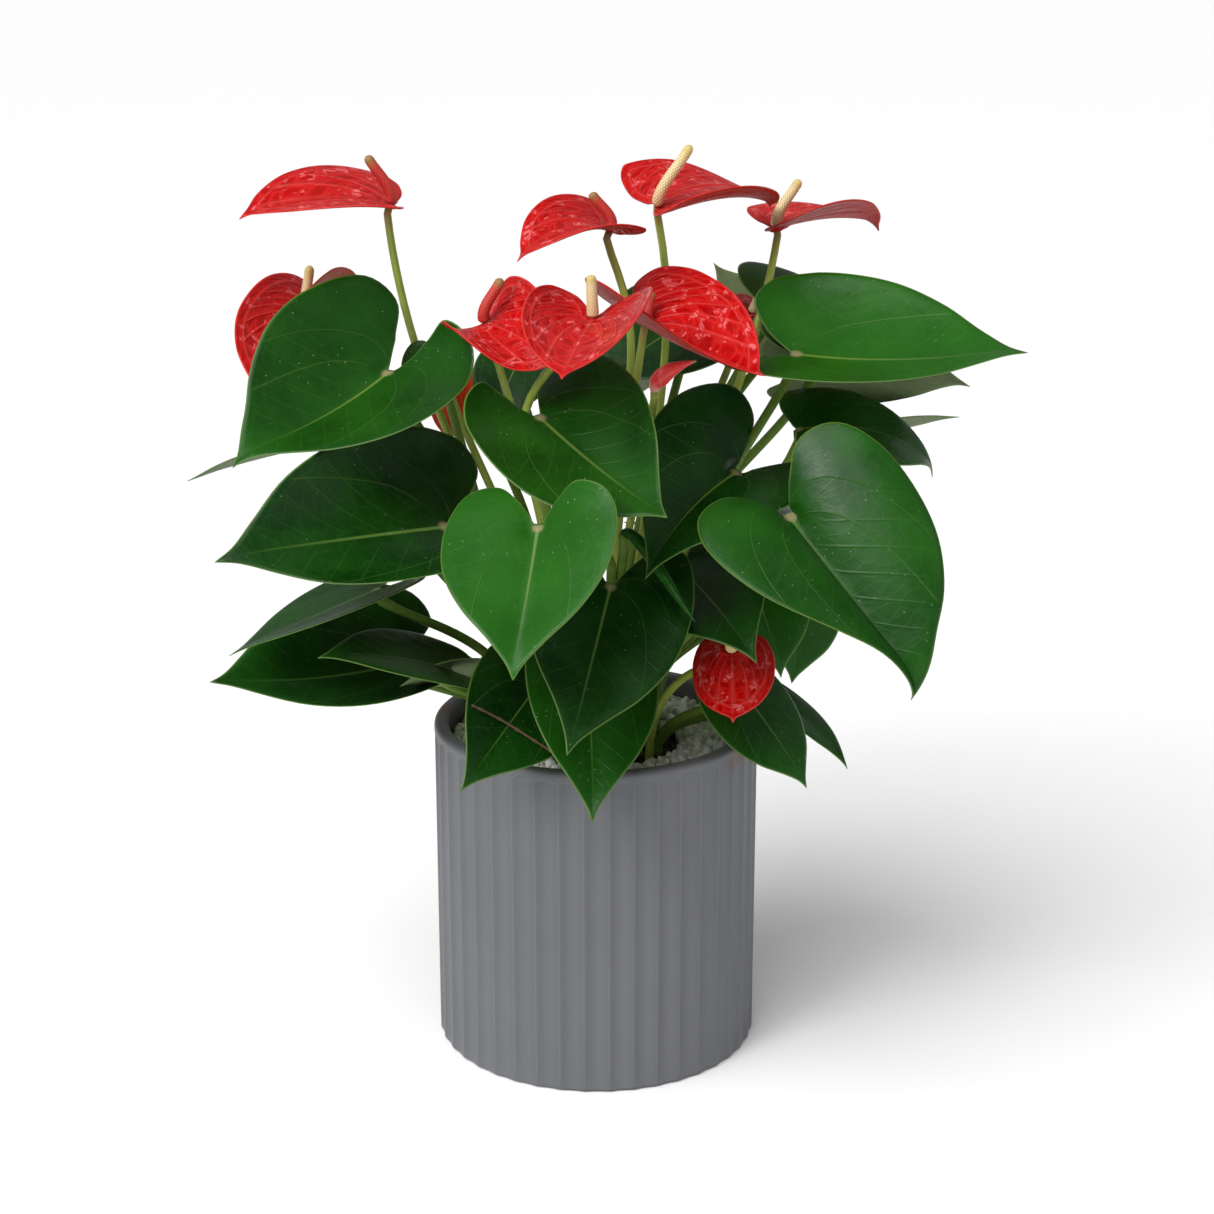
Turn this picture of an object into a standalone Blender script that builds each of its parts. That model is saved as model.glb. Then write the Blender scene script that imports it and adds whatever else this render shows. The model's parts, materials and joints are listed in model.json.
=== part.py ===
# Potted flamingo flower: fluted pot, soil, stone chips, heart leaves and red blooms with their spadices.
# The origin is the centre of the pot's underside, +Z is up, and the front of the plant faces -Y.
# The plant's own numbers are in millimetres and degrees, as a gardener would note them down.

import math
from collections import namedtuple

import bmesh
import bpy
import numpy as np
from mathutils.bvhtree import BVHTree
from mathutils.kdtree import KDTree

for leftover in list(bpy.data.objects):
    bpy.data.objects.remove(leftover)

MM = 0.001
GAP = 0.3

# Pot
POT_RADIUS = 82.5
POT_HEIGHT = 169.7
POT_WALL = 7.5
POT_FLOOR = 9.0
FLUTE_COUNT = 42
FLUTE_DEPTH = 1.5
FLUTE_TOP = 165.4
FLUTE_ARCH = 3.5
FLUTE_STEPS = 4
FOOT_EDGE = 1.5
LIP_ROUND = 2.6

# Soil and stone chips
SOIL_TOP = 152.0
STONE_INNER = 43.0
STONE_LOW = 156.0
STONE_HIGH = 161.5
STONE_ROWS = 6
STONE_COLUMNS = 54

# Stalks and the holes they stand in
HOLE_DEPTH = 8.0
HOLE_SIDES = 6
HOLE_CLEAR = 0.5
STEM_FIELD = 36.0
STEM_SPACING = 9.2
STALK_STRAIGHT = 3.5
STALK_STEPS = 5
STALK_BOWS = (0.0, 5.0, 10.0, 16.0, 24.0, 34.0)
STALK_WAYS = ((0.35, 0.5, 1.0), (0.5, 0.5, 1.0), (0.2, 0.5, 1.0),
              (0.35, 1.5, 0.6), (0.5, 1.5, 0.6), (0.35, 0.5, 0.6))
BLADE_CLEAR = 4.3
STALK_CLEAR = 5.8
PETIOLE_RADIUS = 2.2
FLOWER_STALK_RADIUS = 1.9
CROWN_RADIUS = 3.4
CROWN_SPREAD = 0.5
CROWN_STEP = 0.8
TUBE_SIDES = 5

# Blades
BLADE_THICK = 1.0
DISC_RADIUS = 3.4
DISC_SHARE = 0.3
KNOB_DROP = 2.0

# Spadices
SPADIX_RADIUS = 2.7
SPADIX_NECK = 1.8
SPADIX_RELIEF = 0.06
SPADIX_SIDES = 7
SPADIX_RINGS = 7

# Half outlines from the notch to the tip: x in half widths, y in blade lengths.
LEAF_OUTLINE = [(0.22, -0.16), (0.50, -0.28), (0.82, -0.22), (0.98, -0.02), (1.0, 0.20),
                (0.90, 0.42), (0.65, 0.63), (0.31, 0.80), (0.10, 0.91), (0.0, 1.0)]
SPATHE_OUTLINE = [(0.14, -0.18), (0.42, -0.33), (0.78, -0.28), (0.98, -0.05), (1.0, 0.20),
                  (0.91, 0.43), (0.66, 0.66), (0.32, 0.83), (0.09, 0.92), (0.0, 1.0)]
FINE_STEPS = [0.0, 1.1, 2.3, 3.7, 5.1, 6.4, 7.6, 9.0]
PLAIN_STEPS = [0.0, 1.9, 4.2, 6.7, 9.0]
ROUTE_STEPS = [0.0, 1.5, 3.3, 5.2, 7.3, 9.0]

# A blade: where its stalk joins, its tip, which way it faces (turn and rise in degrees), and its shape.
# arch bows the midrib down, curl bends the tip, nape lowers both lobes and lobes lowers one and lifts the
# other, fold is the V along the midrib, cup lifts the margins, skew tips one side, sweep bends the tip
# sideways, and twist turns the tip end. heel shortens the lobe on the blade's left and on its right. bow
# pushes the stalk sideways, and a way sets its whole course by hand: see stalk_curve.
Shape = namedtuple("Shape", "width arch curl nape lobes fold cup skew sweep twist heel",
                   defaults=(0.45, 0.30, 0.35, 0.0, 0.0, 0.20, -0.20, 0.0, 0.0, 0.0, (1.0, 1.0)))
Blade = namedtuple("Blade", "base tip face shape bow way", defaults=((0, 0), None))
Leaf = namedtuple("Leaf", "name colour blades")
Bloom = namedtuple("Bloom", "name blade spadix pale")

GREEN = (0.020, 0.110, 0.012)
DARK_GREEN = (0.010, 0.060, 0.010)
BRIGHT_GREEN = (0.040, 0.170, 0.012)
STALK_GREEN = (0.13, 0.24, 0.05)

# Leaves that grow from one crown are one piece and share a foot.
LEAVES = [
    Leaf("leaf_left_top", GREEN, [
        Blade((-100, -20, 352), (-168, -76, 319), (-45, 67),
              Shape(width=0.59, arch=-0.34, curl=0.76, nape=0.46, lobes=-0.75, fold=0.37, cup=0.21,
                    skew=-0.46, sweep=0.08, heel=(1.25, 1.03)))]),
    Leaf("leaf_left_middle", DARK_GREEN, [
        Blade((-72, -52, 284), (-172, -118, 286), (-8, 48),
              Shape(width=0.43, arch=0.3, curl=0.3, nape=0.1, lobes=0.2, fold=0.1, cup=0.9, sweep=0.1,
                    twist=0.2, heel=(0.7, 1.0)))]),
    Leaf("leaf_centre_upper", GREEN, [
        Blade((-26, -55, 338), (32, -131, 310), (20, 60),
              Shape(width=0.44, arch=-0.2, curl=0.0, nape=0.3, lobes=0.7, fold=0.15, cup=0.5, skew=0.18,
                    twist=-0.5))]),
    Leaf("leaf_centre_front", BRIGHT_GREEN, [
        Blade((-26, -119, 302), (-36, -177, 250), (-18, 44),
              Shape(width=0.53, arch=0.0, curl=0.37, nape=0.2, lobes=-0.4, fold=0.4, cup=-0.3, skew=0.07,
                    sweep=0.03, twist=0.2))]),
    Leaf("leaf_centre_low", DARK_GREEN, [
        Blade((7, -68, 259), (-13, -145, 203), (10, 38),
              Shape(width=0.42, arch=0.03, curl=0.4, fold=0.37, cup=-0.3, skew=0.05, twist=0.25,
                    heel=(1.0, 0.5)))]),
    Leaf("leaf_left_rim", DARK_GREEN, [
        Blade((-30, -55, 203), (-63, -120, 176), (14, 33),
              Shape(width=0.39, arch=0.33, curl=0.5, fold=0.38, cup=-0.3, skew=-0.05))]),
    Leaf("leaf_front_rim", GREEN, [
        Blade((-4, -52, 211), (-2, -124, 161), (12, 42),
              Shape(width=0.38, arch=0.27, curl=0.45, fold=0.42, cup=-0.25, heel=(0.8, 1.0)))]),
    Leaf("leaf_right_big", GREEN, [
        Blade((90, -82, 297), (144, -121, 221), (25, 69),
              Shape(width=0.53, arch=0.18, curl=1.6, nape=-0.4, lobes=-0.13, fold=0.89, cup=-1.0,
                    skew=0.41, sweep=-0.12, twist=0.44, heel=(0.7, 0.6)))]),
    Leaf("leaf_right_top", BRIGHT_GREEN, [
        Blade((97, -10, 359), (206, -29, 364), (5, 75),
              Shape(width=0.50, arch=-0.3, curl=0.3, nape=0.3, lobes=-0.25, fold=0.18, cup=0.3, skew=0.07,
                    sweep=-0.07))]),
    Leaf("leaf_right_inner", DARK_GREEN, [
        Blade((68, -26, 304), (23, -92, 270), (3, 55),
              Shape(width=0.54, arch=0.33, curl=0.4, nape=-0.1, lobes=-0.3, fold=0.7, cup=-0.3,
                    skew=-0.22, sweep=-0.15, twist=-0.2))]),
    Leaf("leaf_right_low", DARK_GREEN, [
        Blade((44, -32, 255), (75, -98, 231), (-2, 42), Shape(width=0.41, curl=0.6, fold=0.31, cup=-0.35))]),
    Leaf("leaf_right_upper", GREEN, [
        Blade((99, -8, 321), (168, 8, 293), (15, 75),
              Shape(width=0.44, arch=1.05, curl=0.7, nape=-0.15, fold=0.15, cup=-0.25, skew=0.05, twist=-0.1,
                    heel=(0.2, 0.2))),
        Blade((128, 52, 304), (185, 40, 317), (180, 70), Shape(width=0.42, arch=-0.3))]),
    Leaf("leaf_right_rim", GREEN, [
        Blade((72, -45, 198), (102, -69, 157), (26, 58),
              Shape(width=0.45, arch=0.2, curl=0.25, fold=0.02, cup=-0.3)),
        Blade((88, -6, 184), (125, -38, 155), (60, 50), Shape(width=0.26))]),
    Leaf("leaf_left_low", DARK_GREEN, [
        Blade((-99, -10, 201), (-186, -63, 210), (-20, 58),
              Shape(width=0.46, arch=-0.3, curl=0.25, lobes=-0.2, fold=0.38, cup=0.2, sweep=0.07,
                    twist=0.3)),
        Blade((-106, -42, 250), (-176, -64, 224), (-80, 50),
              Shape(width=0.45, arch=0.0, curl=0.1, fold=0.1, cup=0.05)),
        Blade((-72, -55, 214), (-131, -84, 229), (-25, 75),
              Shape(width=0.44, arch=0.3, curl=0.3, fold=0.16, cup=-0.1)),
        Blade((-59, -42, 206), (-95, -60, 207), (170, 40), Shape(width=0.40, arch=0.2))]),
    Leaf("leaf_right_low_back", BRIGHT_GREEN, [
        Blade((77, -3, 243), (91, -38, 203), (25, 35), Shape(width=0.50)),
        Blade((98, 10, 236), (98, -20, 194), (35, 30), Shape(width=0.55))]),
    Leaf("leaf_right_top_back", GREEN, [
        Blade((88, 37, 370), (156, 72, 337), (15, 65), Shape(width=0.50, heel=(0.5, 0.6))),
        Blade((108, 36, 340), (186, 16, 337), (170, 40), Shape(width=0.38))]),
    Leaf("leaf_left_top_back", GREEN, [
        Blade((-134, 12, 310), (-201, -8, 296), (180, 72), Shape(width=0.40, arch=0.1, curl=0.1)),
        Blade((-77, 5, 354), (-82, -14, 330), (-5, 50), Shape(width=0.55))]),
    Leaf("leaf_middle_back", DARK_GREEN, [
        Blade((49, 64, 362), (0, 34, 332), (0, 60), Shape(width=0.55)),
        Blade((-40, 34, 344), (-52, 8, 318), (0, 45), Shape(width=0.50)),
        Blade((10, 75, 335), (20, 140, 300), (180, 55), Shape())]),
    Leaf("leaf_back_left", DARK_GREEN, [
        Blade((-85, 45, 270), (-150, 80, 240), (220, 60), Shape()),
        Blade((-30, 65, 250), (-60, 132, 212), (195, 50), Shape()),
        Blade((-60, 76, 322), (-105, 128, 295), (205, 60), Shape())]),
    Leaf("leaf_back_right", DARK_GREEN, [
        Blade((50, 65, 250), (80, 132, 215), (165, 50), Shape()),
        Blade((95, 50, 262), (150, 90, 236), (130, 60), Shape()),
        Blade((99, 93, 343), (62, 103, 385), (240, 40), Shape(width=0.35, heel=(0.4, 0.4)))]),
]

BLOOMS = [
    Bloom("left_top", Blade((-99, 5, 429), (-170, -6, 424), (-70, 60),
                            Shape(width=0.45, arch=0.6, curl=0.4, nape=0.9, fold=0.25, cup=-0.1, twist=0.25,
                                  heel=(0.2, 0.3)), (-11, 18), (0.4, 1.0, 1.0)),
          (-109, 3, 453), False),
    Bloom("left_back", Blade((-143, 35, 365), (-158, -38, 344), (-55, 60),
                             Shape(width=0.43, arch=0.0, curl=0.3, nape=-0.55, fold=0.75, cup=0.4, skew=-0.13,
                                   sweep=-0.1, twist=-0.2)),
          (-142, 35, 395), True),
    Bloom("middle_top", Blade((7, 5, 417), (-37, -27, 407), (-33, 60),
                              Shape(width=0.45, arch=1.0, curl=0.2, nape=0.3, fold=0.15, cup=0.4, sweep=-0.05,
                                    heel=(0.3, 0.3)), (20, -6), (0.5, 1.0, 0.6)),
          (-2, 5, 435), False),
    Bloom("right_top", Blade((30, 10, 428), (88, 55, 421), (12, 57),
                             Shape(width=0.50, arch=0.8, curl=0.45, nape=-0.15, lobes=0.45, fold=0.05,
                                   cup=0.55, skew=-0.45, sweep=-0.07, twist=0.1, heel=(0.3, 0.35)),
                             (10, 10), (0.2, 0.6, 0.6)),
          (46, 10, 457), True),
    Bloom("far_right", Blade((91, 52, 411), (146, 81, 405), (18, 80),
                             Shape(width=0.49, arch=0.55, curl=0.8, nape=0.05, lobes=0.2, fold=0.33,
                                   cup=-0.1, skew=-0.25, sweep=-0.05, twist=0.2, heel=(0.2, 0.6))),
          (102, 52, 435), True),
    Bloom("left_inner", Blade((-52, -38, 380), (-18, -77, 368), (-64, 66),
                              Shape(width=0.52, arch=0.38, curl=-0.26, nape=-0.4, lobes=0.13, fold=-0.1,
                                    cup=1.29, skew=-0.04, sweep=0.09, twist=-0.6, heel=(0.64, 0.23))),
          (-44, -38, 401), False),
    Bloom("centre", Blade((-1, -64, 387), (-15, -124, 371), (-15, 50),
                          Shape(width=0.50, arch=0.07, curl=0.2, fold=0.06, cup=0.77)),
          (-2, -64, 407), True),
    Bloom("right_inner", Blade((24, -15, 376), (78, -72, 362), (39, 61),
                               Shape(width=0.46, arch=-0.19, curl=0.0, fold=0.37, cup=0.65, sweep=-0.05,
                                     twist=-0.14)),
          (27, -12, 390), False),
    Bloom("low", Blade((65, -67, 227), (64, -102, 203), (-8, 30),
                       Shape(width=0.50, arch=0.0, curl=0.0, nape=-0.15, fold=-0.33, cup=-0.1)),
          (63, -83, 235), True),
    Bloom("back_right", Blade((80, 64, 365), (99, 88, 351), (40, 70),
                              Shape(width=0.42, fold=0.3, cup=0.2, heel=(0.6, 0.6))),
          (86, 70, 379), True),
    Bloom("back_left", Blade((-74, 38, 336), (-74, 26, 307), (165, 15), Shape(width=0.42, fold=0.2, cup=0.1)),
          (-70, 60, 338), True),
]

# A closed bud stands in front of the middle, and a rolled new leaf hangs beside it.
BUD_BASE = (28, -30, 345)
BUD_TIP = (48, -30, 360)
NEW_LEAF_TOP = (13, -64, 284)
NEW_LEAF_TIP = (46, -97, 251)


def unit(vector):
    """The vector, or each row of them, scaled to length one."""
    vector = np.asarray(vector, float)
    return vector / np.linalg.norm(vector, axis=-1, keepdims=True)


def facing(turn, rise):
    """Unit vector for a turn from the front towards +X and a rise above level, in degrees."""
    a, e = math.radians(turn), math.radians(rise)
    return np.array([math.sin(a) * math.cos(e), -math.cos(a) * math.cos(e), math.sin(e)])


def smooth_curve(points, where):
    """Cardinal spline through the points; where counts points from 0 to the last one."""
    points = np.asarray(points, float)
    padded = np.vstack([2 * points[0] - points[1], points, 2 * points[-1] - points[-2]])
    last = len(points) - 1
    start = np.minimum(np.asarray(where, float).astype(int), last - 1)
    f = (np.asarray(where, float) - start)[:, None]
    a, b, c, d = padded[start], padded[start + 1], padded[start + 2], padded[start + 3]
    square, cube = f ** 2, f ** 3
    return 0.5 * (2 * b + (c - a) * f + (2 * a - 5 * b + 4 * c - d) * square + (3 * b - 3 * c + d - a) * cube)


def flat_margin(outline, steps):
    """Whole flat margin from the left notch round the tip to the right notch."""
    side = smooth_curve(outline, steps)
    side[-1] = (0.0, 1.0)
    left = side * (-1, 1)
    return np.vstack([left, side[-2::-1]])


def heeled(flat, shape):
    """Flat points whose part behind the joint is shortened by the heel of its side."""
    x, y = flat[..., 0], flat[..., 1]
    heel = np.where(x < 0, shape.heel[0], shape.heel[1])
    return np.stack([x, np.where(y < 0, y * heel, y)], -1)


def bent(flat, shape):
    """Bends flat blade points, in blade lengths, into the blade's form round its level joint."""
    flat = heeled(flat, shape)
    side, across, y = np.sign(flat[..., 0]), np.abs(flat[..., 0]), flat[..., 1]
    along = np.linspace(-0.5, 1.0, 201)
    step = along[1] - along[0]
    droop = shape.arch * np.clip(along, 0, 1) + shape.curl * np.clip((along - 0.72) / 0.28, 0, 1) ** 2
    rib_y, rib_z, pitch = np.zeros_like(y), np.zeros_like(y), np.zeros_like(y)
    for half in (-1, 1):
        dip = np.where(along < 0, (shape.nape + half * shape.lobes) * -along / 0.3, droop)
        path_y = np.concatenate([[0], np.cumsum(np.cos((dip[1:] + dip[:-1]) / 2)) * step])
        path_z = np.concatenate([[0], np.cumsum(-np.sin((dip[1:] + dip[:-1]) / 2)) * step])
        here = side < 0 if half < 0 else side >= 0
        rib_y = np.where(here, np.interp(y, along, path_y - np.interp(0, along, path_y)), rib_y)
        rib_z = np.where(here, np.interp(y, along, path_z - np.interp(0, along, path_z)), rib_z)
        pitch = np.where(here, np.interp(y, along, dip), pitch)
    first = shape.fold - side * shape.skew
    angles = first + shape.cup * across * np.linspace(0, 1, 13).reshape((13,) + (1,) * y.ndim)
    mean_cos = (np.cos(angles[1:]) + np.cos(angles[:-1])).mean(0) / 2
    mean_sin = (np.sin(angles[1:]) + np.sin(angles[:-1])).mean(0) / 2
    out = side * mean_cos * across * shape.width
    rise = mean_sin * across * shape.width
    turn = shape.twist * np.clip(y, -0.4, 1)
    turned_x = out * np.cos(turn) - rise * np.sin(turn)
    turned_z = out * np.sin(turn) + rise * np.cos(turn)
    return np.stack([turned_x + shape.sweep * np.clip(y, 0, 1) ** 2,
                     rib_y + turned_z * np.sin(pitch),
                     rib_z + turned_z * np.cos(pitch)], -1)


def blade_frame(blade):
    """Rotation (columns are the blade's own axes in the world) and length that put the tip in place."""
    tip = bent(np.array([0.0, 1.0]), blade.shape)
    chord = np.subtract(blade.tip, blade.base).astype(float)
    own_y = unit(tip)
    own_z = unit(np.array([0, 0, 1.0]) - own_y * own_y[2])
    own = np.stack([np.cross(own_y, own_z), own_y, own_z])
    world_y = unit(chord)
    face = facing(*blade.face)
    world_z = unit(face - world_y * (face @ world_y))
    world = np.stack([np.cross(world_y, world_z), world_y, world_z])
    return world.T @ own, np.linalg.norm(chord) / np.linalg.norm(tip)


def surface_normals(grid):
    """Normals of a fan of rings, from the inner ring out."""
    outward = np.gradient(grid, axis=0)
    onward = np.gradient(grid, axis=1)
    return unit(np.cross(onward, outward))


def bezier(points, count):
    """Points along a cubic curve."""
    t = np.linspace(0, 1, count)[:, None]
    a, b, c, d = (np.asarray(point, float) for point in points)
    return (1 - t) ** 3 * a + 3 * (1 - t) ** 2 * t * b + 3 * (1 - t) * t ** 2 * c + t ** 3 * d


def tube_rings(path, radii, sides, start_axis):
    """Rings of a tube along the path, carried along without twisting."""
    path = np.asarray(path, float)
    tangents = unit(np.gradient(path, axis=0))
    angles = np.arange(sides) * 2 * math.pi / sides
    rings = []
    axis = np.asarray(start_axis, float)
    for point, tangent, radius in zip(path, tangents, radii):
        axis = unit(axis - tangent * (axis @ tangent))
        other = np.cross(tangent, axis)
        rings.append(point + radius * (np.cos(angles)[:, None] * axis + np.sin(angles)[:, None] * other))
    return rings


class Skin:
    """Collects points and faces of one closed body."""

    def __init__(self):
        self.points = []
        self.faces = []

    def add(self, points):
        """Adds points and returns their numbers."""
        points = np.atleast_2d(points)
        first = len(self.points)
        self.points.extend(points)
        return list(range(first, first + len(points)))

    def band(self, lower, upper, closed=True):
        """Triangles between two rows of equal length, each quad split the same way."""
        count = len(lower)
        for j in range(count if closed else count - 1):
            k = (j + 1) % count
            self.faces.append((lower[j], lower[k], upper[k]))
            self.faces.append((lower[j], upper[k], upper[j]))

    def cap(self, ring):
        """One flat face over a closed ring."""
        self.faces.append(tuple(ring))

    def tube(self, path, radii, sides, start_axis, capped=False):
        """Round bar along a path; returns its rows of point numbers."""
        rows = [self.add(ring) for ring in tube_rings(path, radii, sides, start_axis)]
        for lower, upper in zip(rows, rows[1:]):
            self.band(lower, upper)
        if capped:
            self.cap(rows[0][::-1])
            self.cap(rows[-1])
        return rows

    def bridge(self, lower, upper):
        """Triangles between two closed rows of different length that start at the same angle."""
        i = j = 0
        while i < len(lower) or j < len(upper):
            next_low = (i + 1) / len(lower)
            next_up = (j + 1) / len(upper)
            low, up = lower[i % len(lower)], upper[j % len(upper)]
            if next_low <= next_up and i < len(lower):
                self.faces.append((low, lower[(i + 1) % len(lower)], up))
                i += 1
            else:
                self.faces.append((low, upper[(j + 1) % len(upper)], up))
                j += 1

    def build(self, name):
        """Mesh with every face pointing out."""
        mesh = bpy.data.meshes.new(name)
        mesh.from_pydata([tuple(point) for point in self.points], [], self.faces)
        shaped = bmesh.new()
        shaped.from_mesh(mesh)
        bmesh.ops.recalc_face_normals(shaped, faces=shaped.faces)
        shaped.to_mesh(mesh)
        shaped.free()
        return mesh


def blade_grid(blade, outline, steps):
    """Middle surface in the world, from the disc at the joint out to the margin, and its columns' angles."""
    frame, length = blade_frame(blade)
    margin = flat_margin(outline, steps)
    reach = heeled(margin, blade.shape) * (blade.shape.width, 1)
    angles = np.arctan2(reach[:, 0], reach[:, 1])
    radius = np.minimum(DISC_RADIUS, DISC_SHARE * length * np.linalg.norm(reach, axis=-1))
    disc = radius[:, None] * np.stack([np.sin(angles), np.cos(angles), np.zeros_like(angles)], -1)
    outer = [bent(margin * part, blade.shape) * length for part in (0.5, 1.0)]
    return np.stack([disc] + outer) @ frame.T + np.asarray(blade.base, float), angles


def blade_skin(blade, outline, steps, petiole=None):
    """Blade of even thickness round a flat disc at the joint; a petiole grows from it along its path."""
    frame, _ = blade_frame(blade)
    grid, angles = blade_grid(blade, outline, steps)
    normals = surface_normals(grid)
    normals[0] = frame[:, 2]
    base = np.asarray(blade.base, float)
    half = BLADE_THICK / 2
    top = grid + normals * half
    under = grid - normals * half
    up = frame[:, 2]
    skin = Skin()
    top_rows = [skin.add(row) for row in top]
    under_rows = [skin.add(row) for row in under]
    pole = skin.add(base + up * half)[0]
    count = len(angles)
    for j in range(count):
        skin.faces.append((pole, top_rows[0][j], top_rows[0][(j + 1) % count]))
    for rows in (top_rows, under_rows):
        skin.band(rows[0], rows[1], closed=False)
        skin.band(rows[1], rows[2], closed=False)
    top_edge = top_rows[1][:1] + top_rows[2] + top_rows[1][-1:] + top_rows[0][-1:] + top_rows[0][:1]
    under_edge = [number - top_rows[0][0] + under_rows[0][0] for number in top_edge]
    skin.band(under_edge, top_edge)
    if petiole is None:
        nadir = skin.add(base - up * half)[0]
        for j in range(count):
            skin.faces.append((nadir, under_rows[0][(j + 1) % count], under_rows[0][j]))
        return skin
    first = math.atan2(math.sin(angles[0]), math.cos(angles[0]))
    axis = math.sin(first) * frame[:, 0] + math.cos(first) * frame[:, 1]
    radii = np.linspace(PETIOLE_RADIUS, PETIOLE_RADIUS * 1.15, len(petiole))
    rows = skin.tube(petiole, radii, TUBE_SIDES, axis)
    skin.bridge(under_rows[0], rows[0])
    skin.cap(rows[-1])
    return skin


def stalk_curve(top, down, foot, way, bow):
    """From under a joint to the foot: straight at both ends, with a sideways bow in between."""
    stiff, lean, crest = way
    start = top + down * STALK_STRAIGHT
    collar = np.array([foot[0], foot[1], SOIL_TOP + STALK_STRAIGHT])
    reach = np.linalg.norm(start - collar)
    low_control = collar + (0, 0, reach * stiff)
    heading = unit(lean * down + unit(low_control - start))
    curve = bezier((start, start + heading * reach * 0.25, low_control, collar), STALK_STEPS)
    swell = np.sin(math.pi * np.linspace(0, 1, STALK_STEPS) ** crest) ** 2
    curve[:, :2] += swell[:, None] * bow
    return np.vstack([top, curve, [foot[0], foot[1], SOIL_TOP - HOLE_DEPTH + GAP]])


def sampled(path, count=10):
    """The path's corners with evenly spaced points between them."""
    part = np.linspace(0, 1, count, endpoint=False)[:, None]
    pieces = [first + (second - first) * part for first, second in zip(path, path[1:])]
    return np.vstack(pieces + [path[-1:]])


def tree_of(sheets):
    """Search tree over the middle surfaces of some blades."""
    points, faces = [], []
    for sheet in sheets:
        rows, columns = sheet.shape[:2]
        first = len(points)
        points.extend(sheet.reshape(-1, 3))
        for row in range(rows - 1):
            for column in range(columns - 1):
                corner = first + row * columns + column
                faces.append((corner, corner + 1, corner + columns + 1))
                faces.append((corner, corner + columns + 1, corner + columns))
    return BVHTree.FromPolygons(points, faces)


def tree_of_points(points):
    """Search tree over single points."""
    tree = KDTree(len(points))
    for number, point in enumerate(points):
        tree.insert(point, number)
    tree.balance()
    return tree


def room_round(path, tree, own_tree, stalks, enough):
    """Smallest spare room along a path: to chips, pot, other stalks and blades; stops once under enough."""
    points = sampled(path)
    low = points[points[:, 2] < STONE_HIGH + 1]
    rim = points[points[:, 2] < POT_HEIGHT + 3]
    room = min(STONE_INNER - 3.2 - np.hypot(low[:, 0], low[:, 1]).max(),
               POT_RADIUS - POT_WALL - 4 - np.hypot(rim[:, 0], rim[:, 1]).max())
    away = np.linalg.norm(points - path[0], axis=1) > 12
    scattered = np.argsort(np.arange(len(points)) * 7 % 11, kind="stable")
    for number in scattered:
        if room <= enough:
            break
        point = points[number]
        room = min(room, stalks.find(point)[2] - STALK_CLEAR)
        for search in (tree, own_tree) if away[number] else (tree,):
            distance = search.find_nearest(point, 60.0)[3]
            if distance is not None:
                room = min(room, distance - BLADE_CLEAR)
    return room


def grown(top, down, foot, habit, tree, own_tree, stalks):
    """The gentlest stalk that clears everything, or else the one with the most room."""
    best, best_room = None, -1e9
    for bow in STALK_BOWS:
        for turn in range(1 if bow == 0 else 8):
            side = np.add(habit, (bow * math.sin(turn * math.pi / 4), bow * math.cos(turn * math.pi / 4)))
            for way in STALK_WAYS:
                path = stalk_curve(top, down, foot, way, side)
                room = room_round(path, tree, own_tree, stalks, best_room)
                if room > best_room:
                    best, best_room = path, room
                if room > 0:
                    return best
    return best


def spread(wanted):
    """Moves the stalks' feet apart until they keep their spacing, inside the stem field."""
    feet = np.array(wanted, float)
    for _ in range(400):
        for i in range(len(feet)):
            away = feet[i] - feet
            gap = np.hypot(away[:, 0], away[:, 1])
            near = (gap > 0) & (gap < STEM_SPACING)
            push = (away[near] / gap[near, None] * (STEM_SPACING - gap[near, None])).sum(0)
            feet[i] = feet[i] + push * 0.4
            reach = np.hypot(*feet[i])
            feet[i] = feet[i] * min(1, STEM_FIELD / reach)
    return np.round(feet, 1)


def wanted_foot(base):
    """Where a stalk would rise by itself: low leaves come from the outside of the clump."""
    share = 0.42 if base[2] < 240 else 0.26
    return share * base[0], share * (base[1] + 10)


def material(name, colour, roughness):
    """Plain glossy or matt surface colour."""
    result = bpy.data.materials.new(name)
    result.use_nodes = True
    surface = result.node_tree.nodes["Principled BSDF"]
    surface.inputs["Base Color"].default_value = colour + (1.0,)
    surface.inputs["Roughness"].default_value = roughness
    return result


def place(name, mesh, colour, roughness, smooth=35):
    """Scales the millimetre mesh to metres and puts it in the scene as a named object."""
    scaled = bmesh.new()
    scaled.from_mesh(mesh)
    bmesh.ops.scale(scaled, vec=(MM, MM, MM), verts=scaled.verts)
    bmesh.ops.triangulate(scaled, faces=[face for face in scaled.faces if len(face.verts) > 3])
    scaled.to_mesh(mesh)
    scaled.free()
    mesh.shade_smooth()
    mesh.set_sharp_from_angle(angle=math.radians(smooth))
    mesh.materials.append(material(name + "_surface", colour, roughness))
    result = bpy.data.objects.new(name, mesh)
    bpy.context.collection.objects.link(result)
    return result


def fused(name, meshes):
    """One body from several that cross each other."""
    group = bpy.data.collections.new(name + "_parts")
    for mesh in meshes[1:]:
        group.objects.link(bpy.data.objects.new(name + "_piece", mesh))
    whole = bpy.data.objects.new(name + "_whole", meshes[0])
    bpy.context.collection.objects.link(whole)
    union = whole.modifiers.new("union", "BOOLEAN")
    union.operation = "UNION"
    union.solver = "EXACT"
    union.operand_type = "COLLECTION"
    union.collection = group
    depsgraph = bpy.context.evaluated_depsgraph_get()
    mesh = bpy.data.meshes.new_from_object(whole.evaluated_get(depsgraph))
    for piece in list(group.objects) + [whole]:
        bpy.data.objects.remove(piece)
    bpy.data.collections.remove(group)
    return mesh


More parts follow.
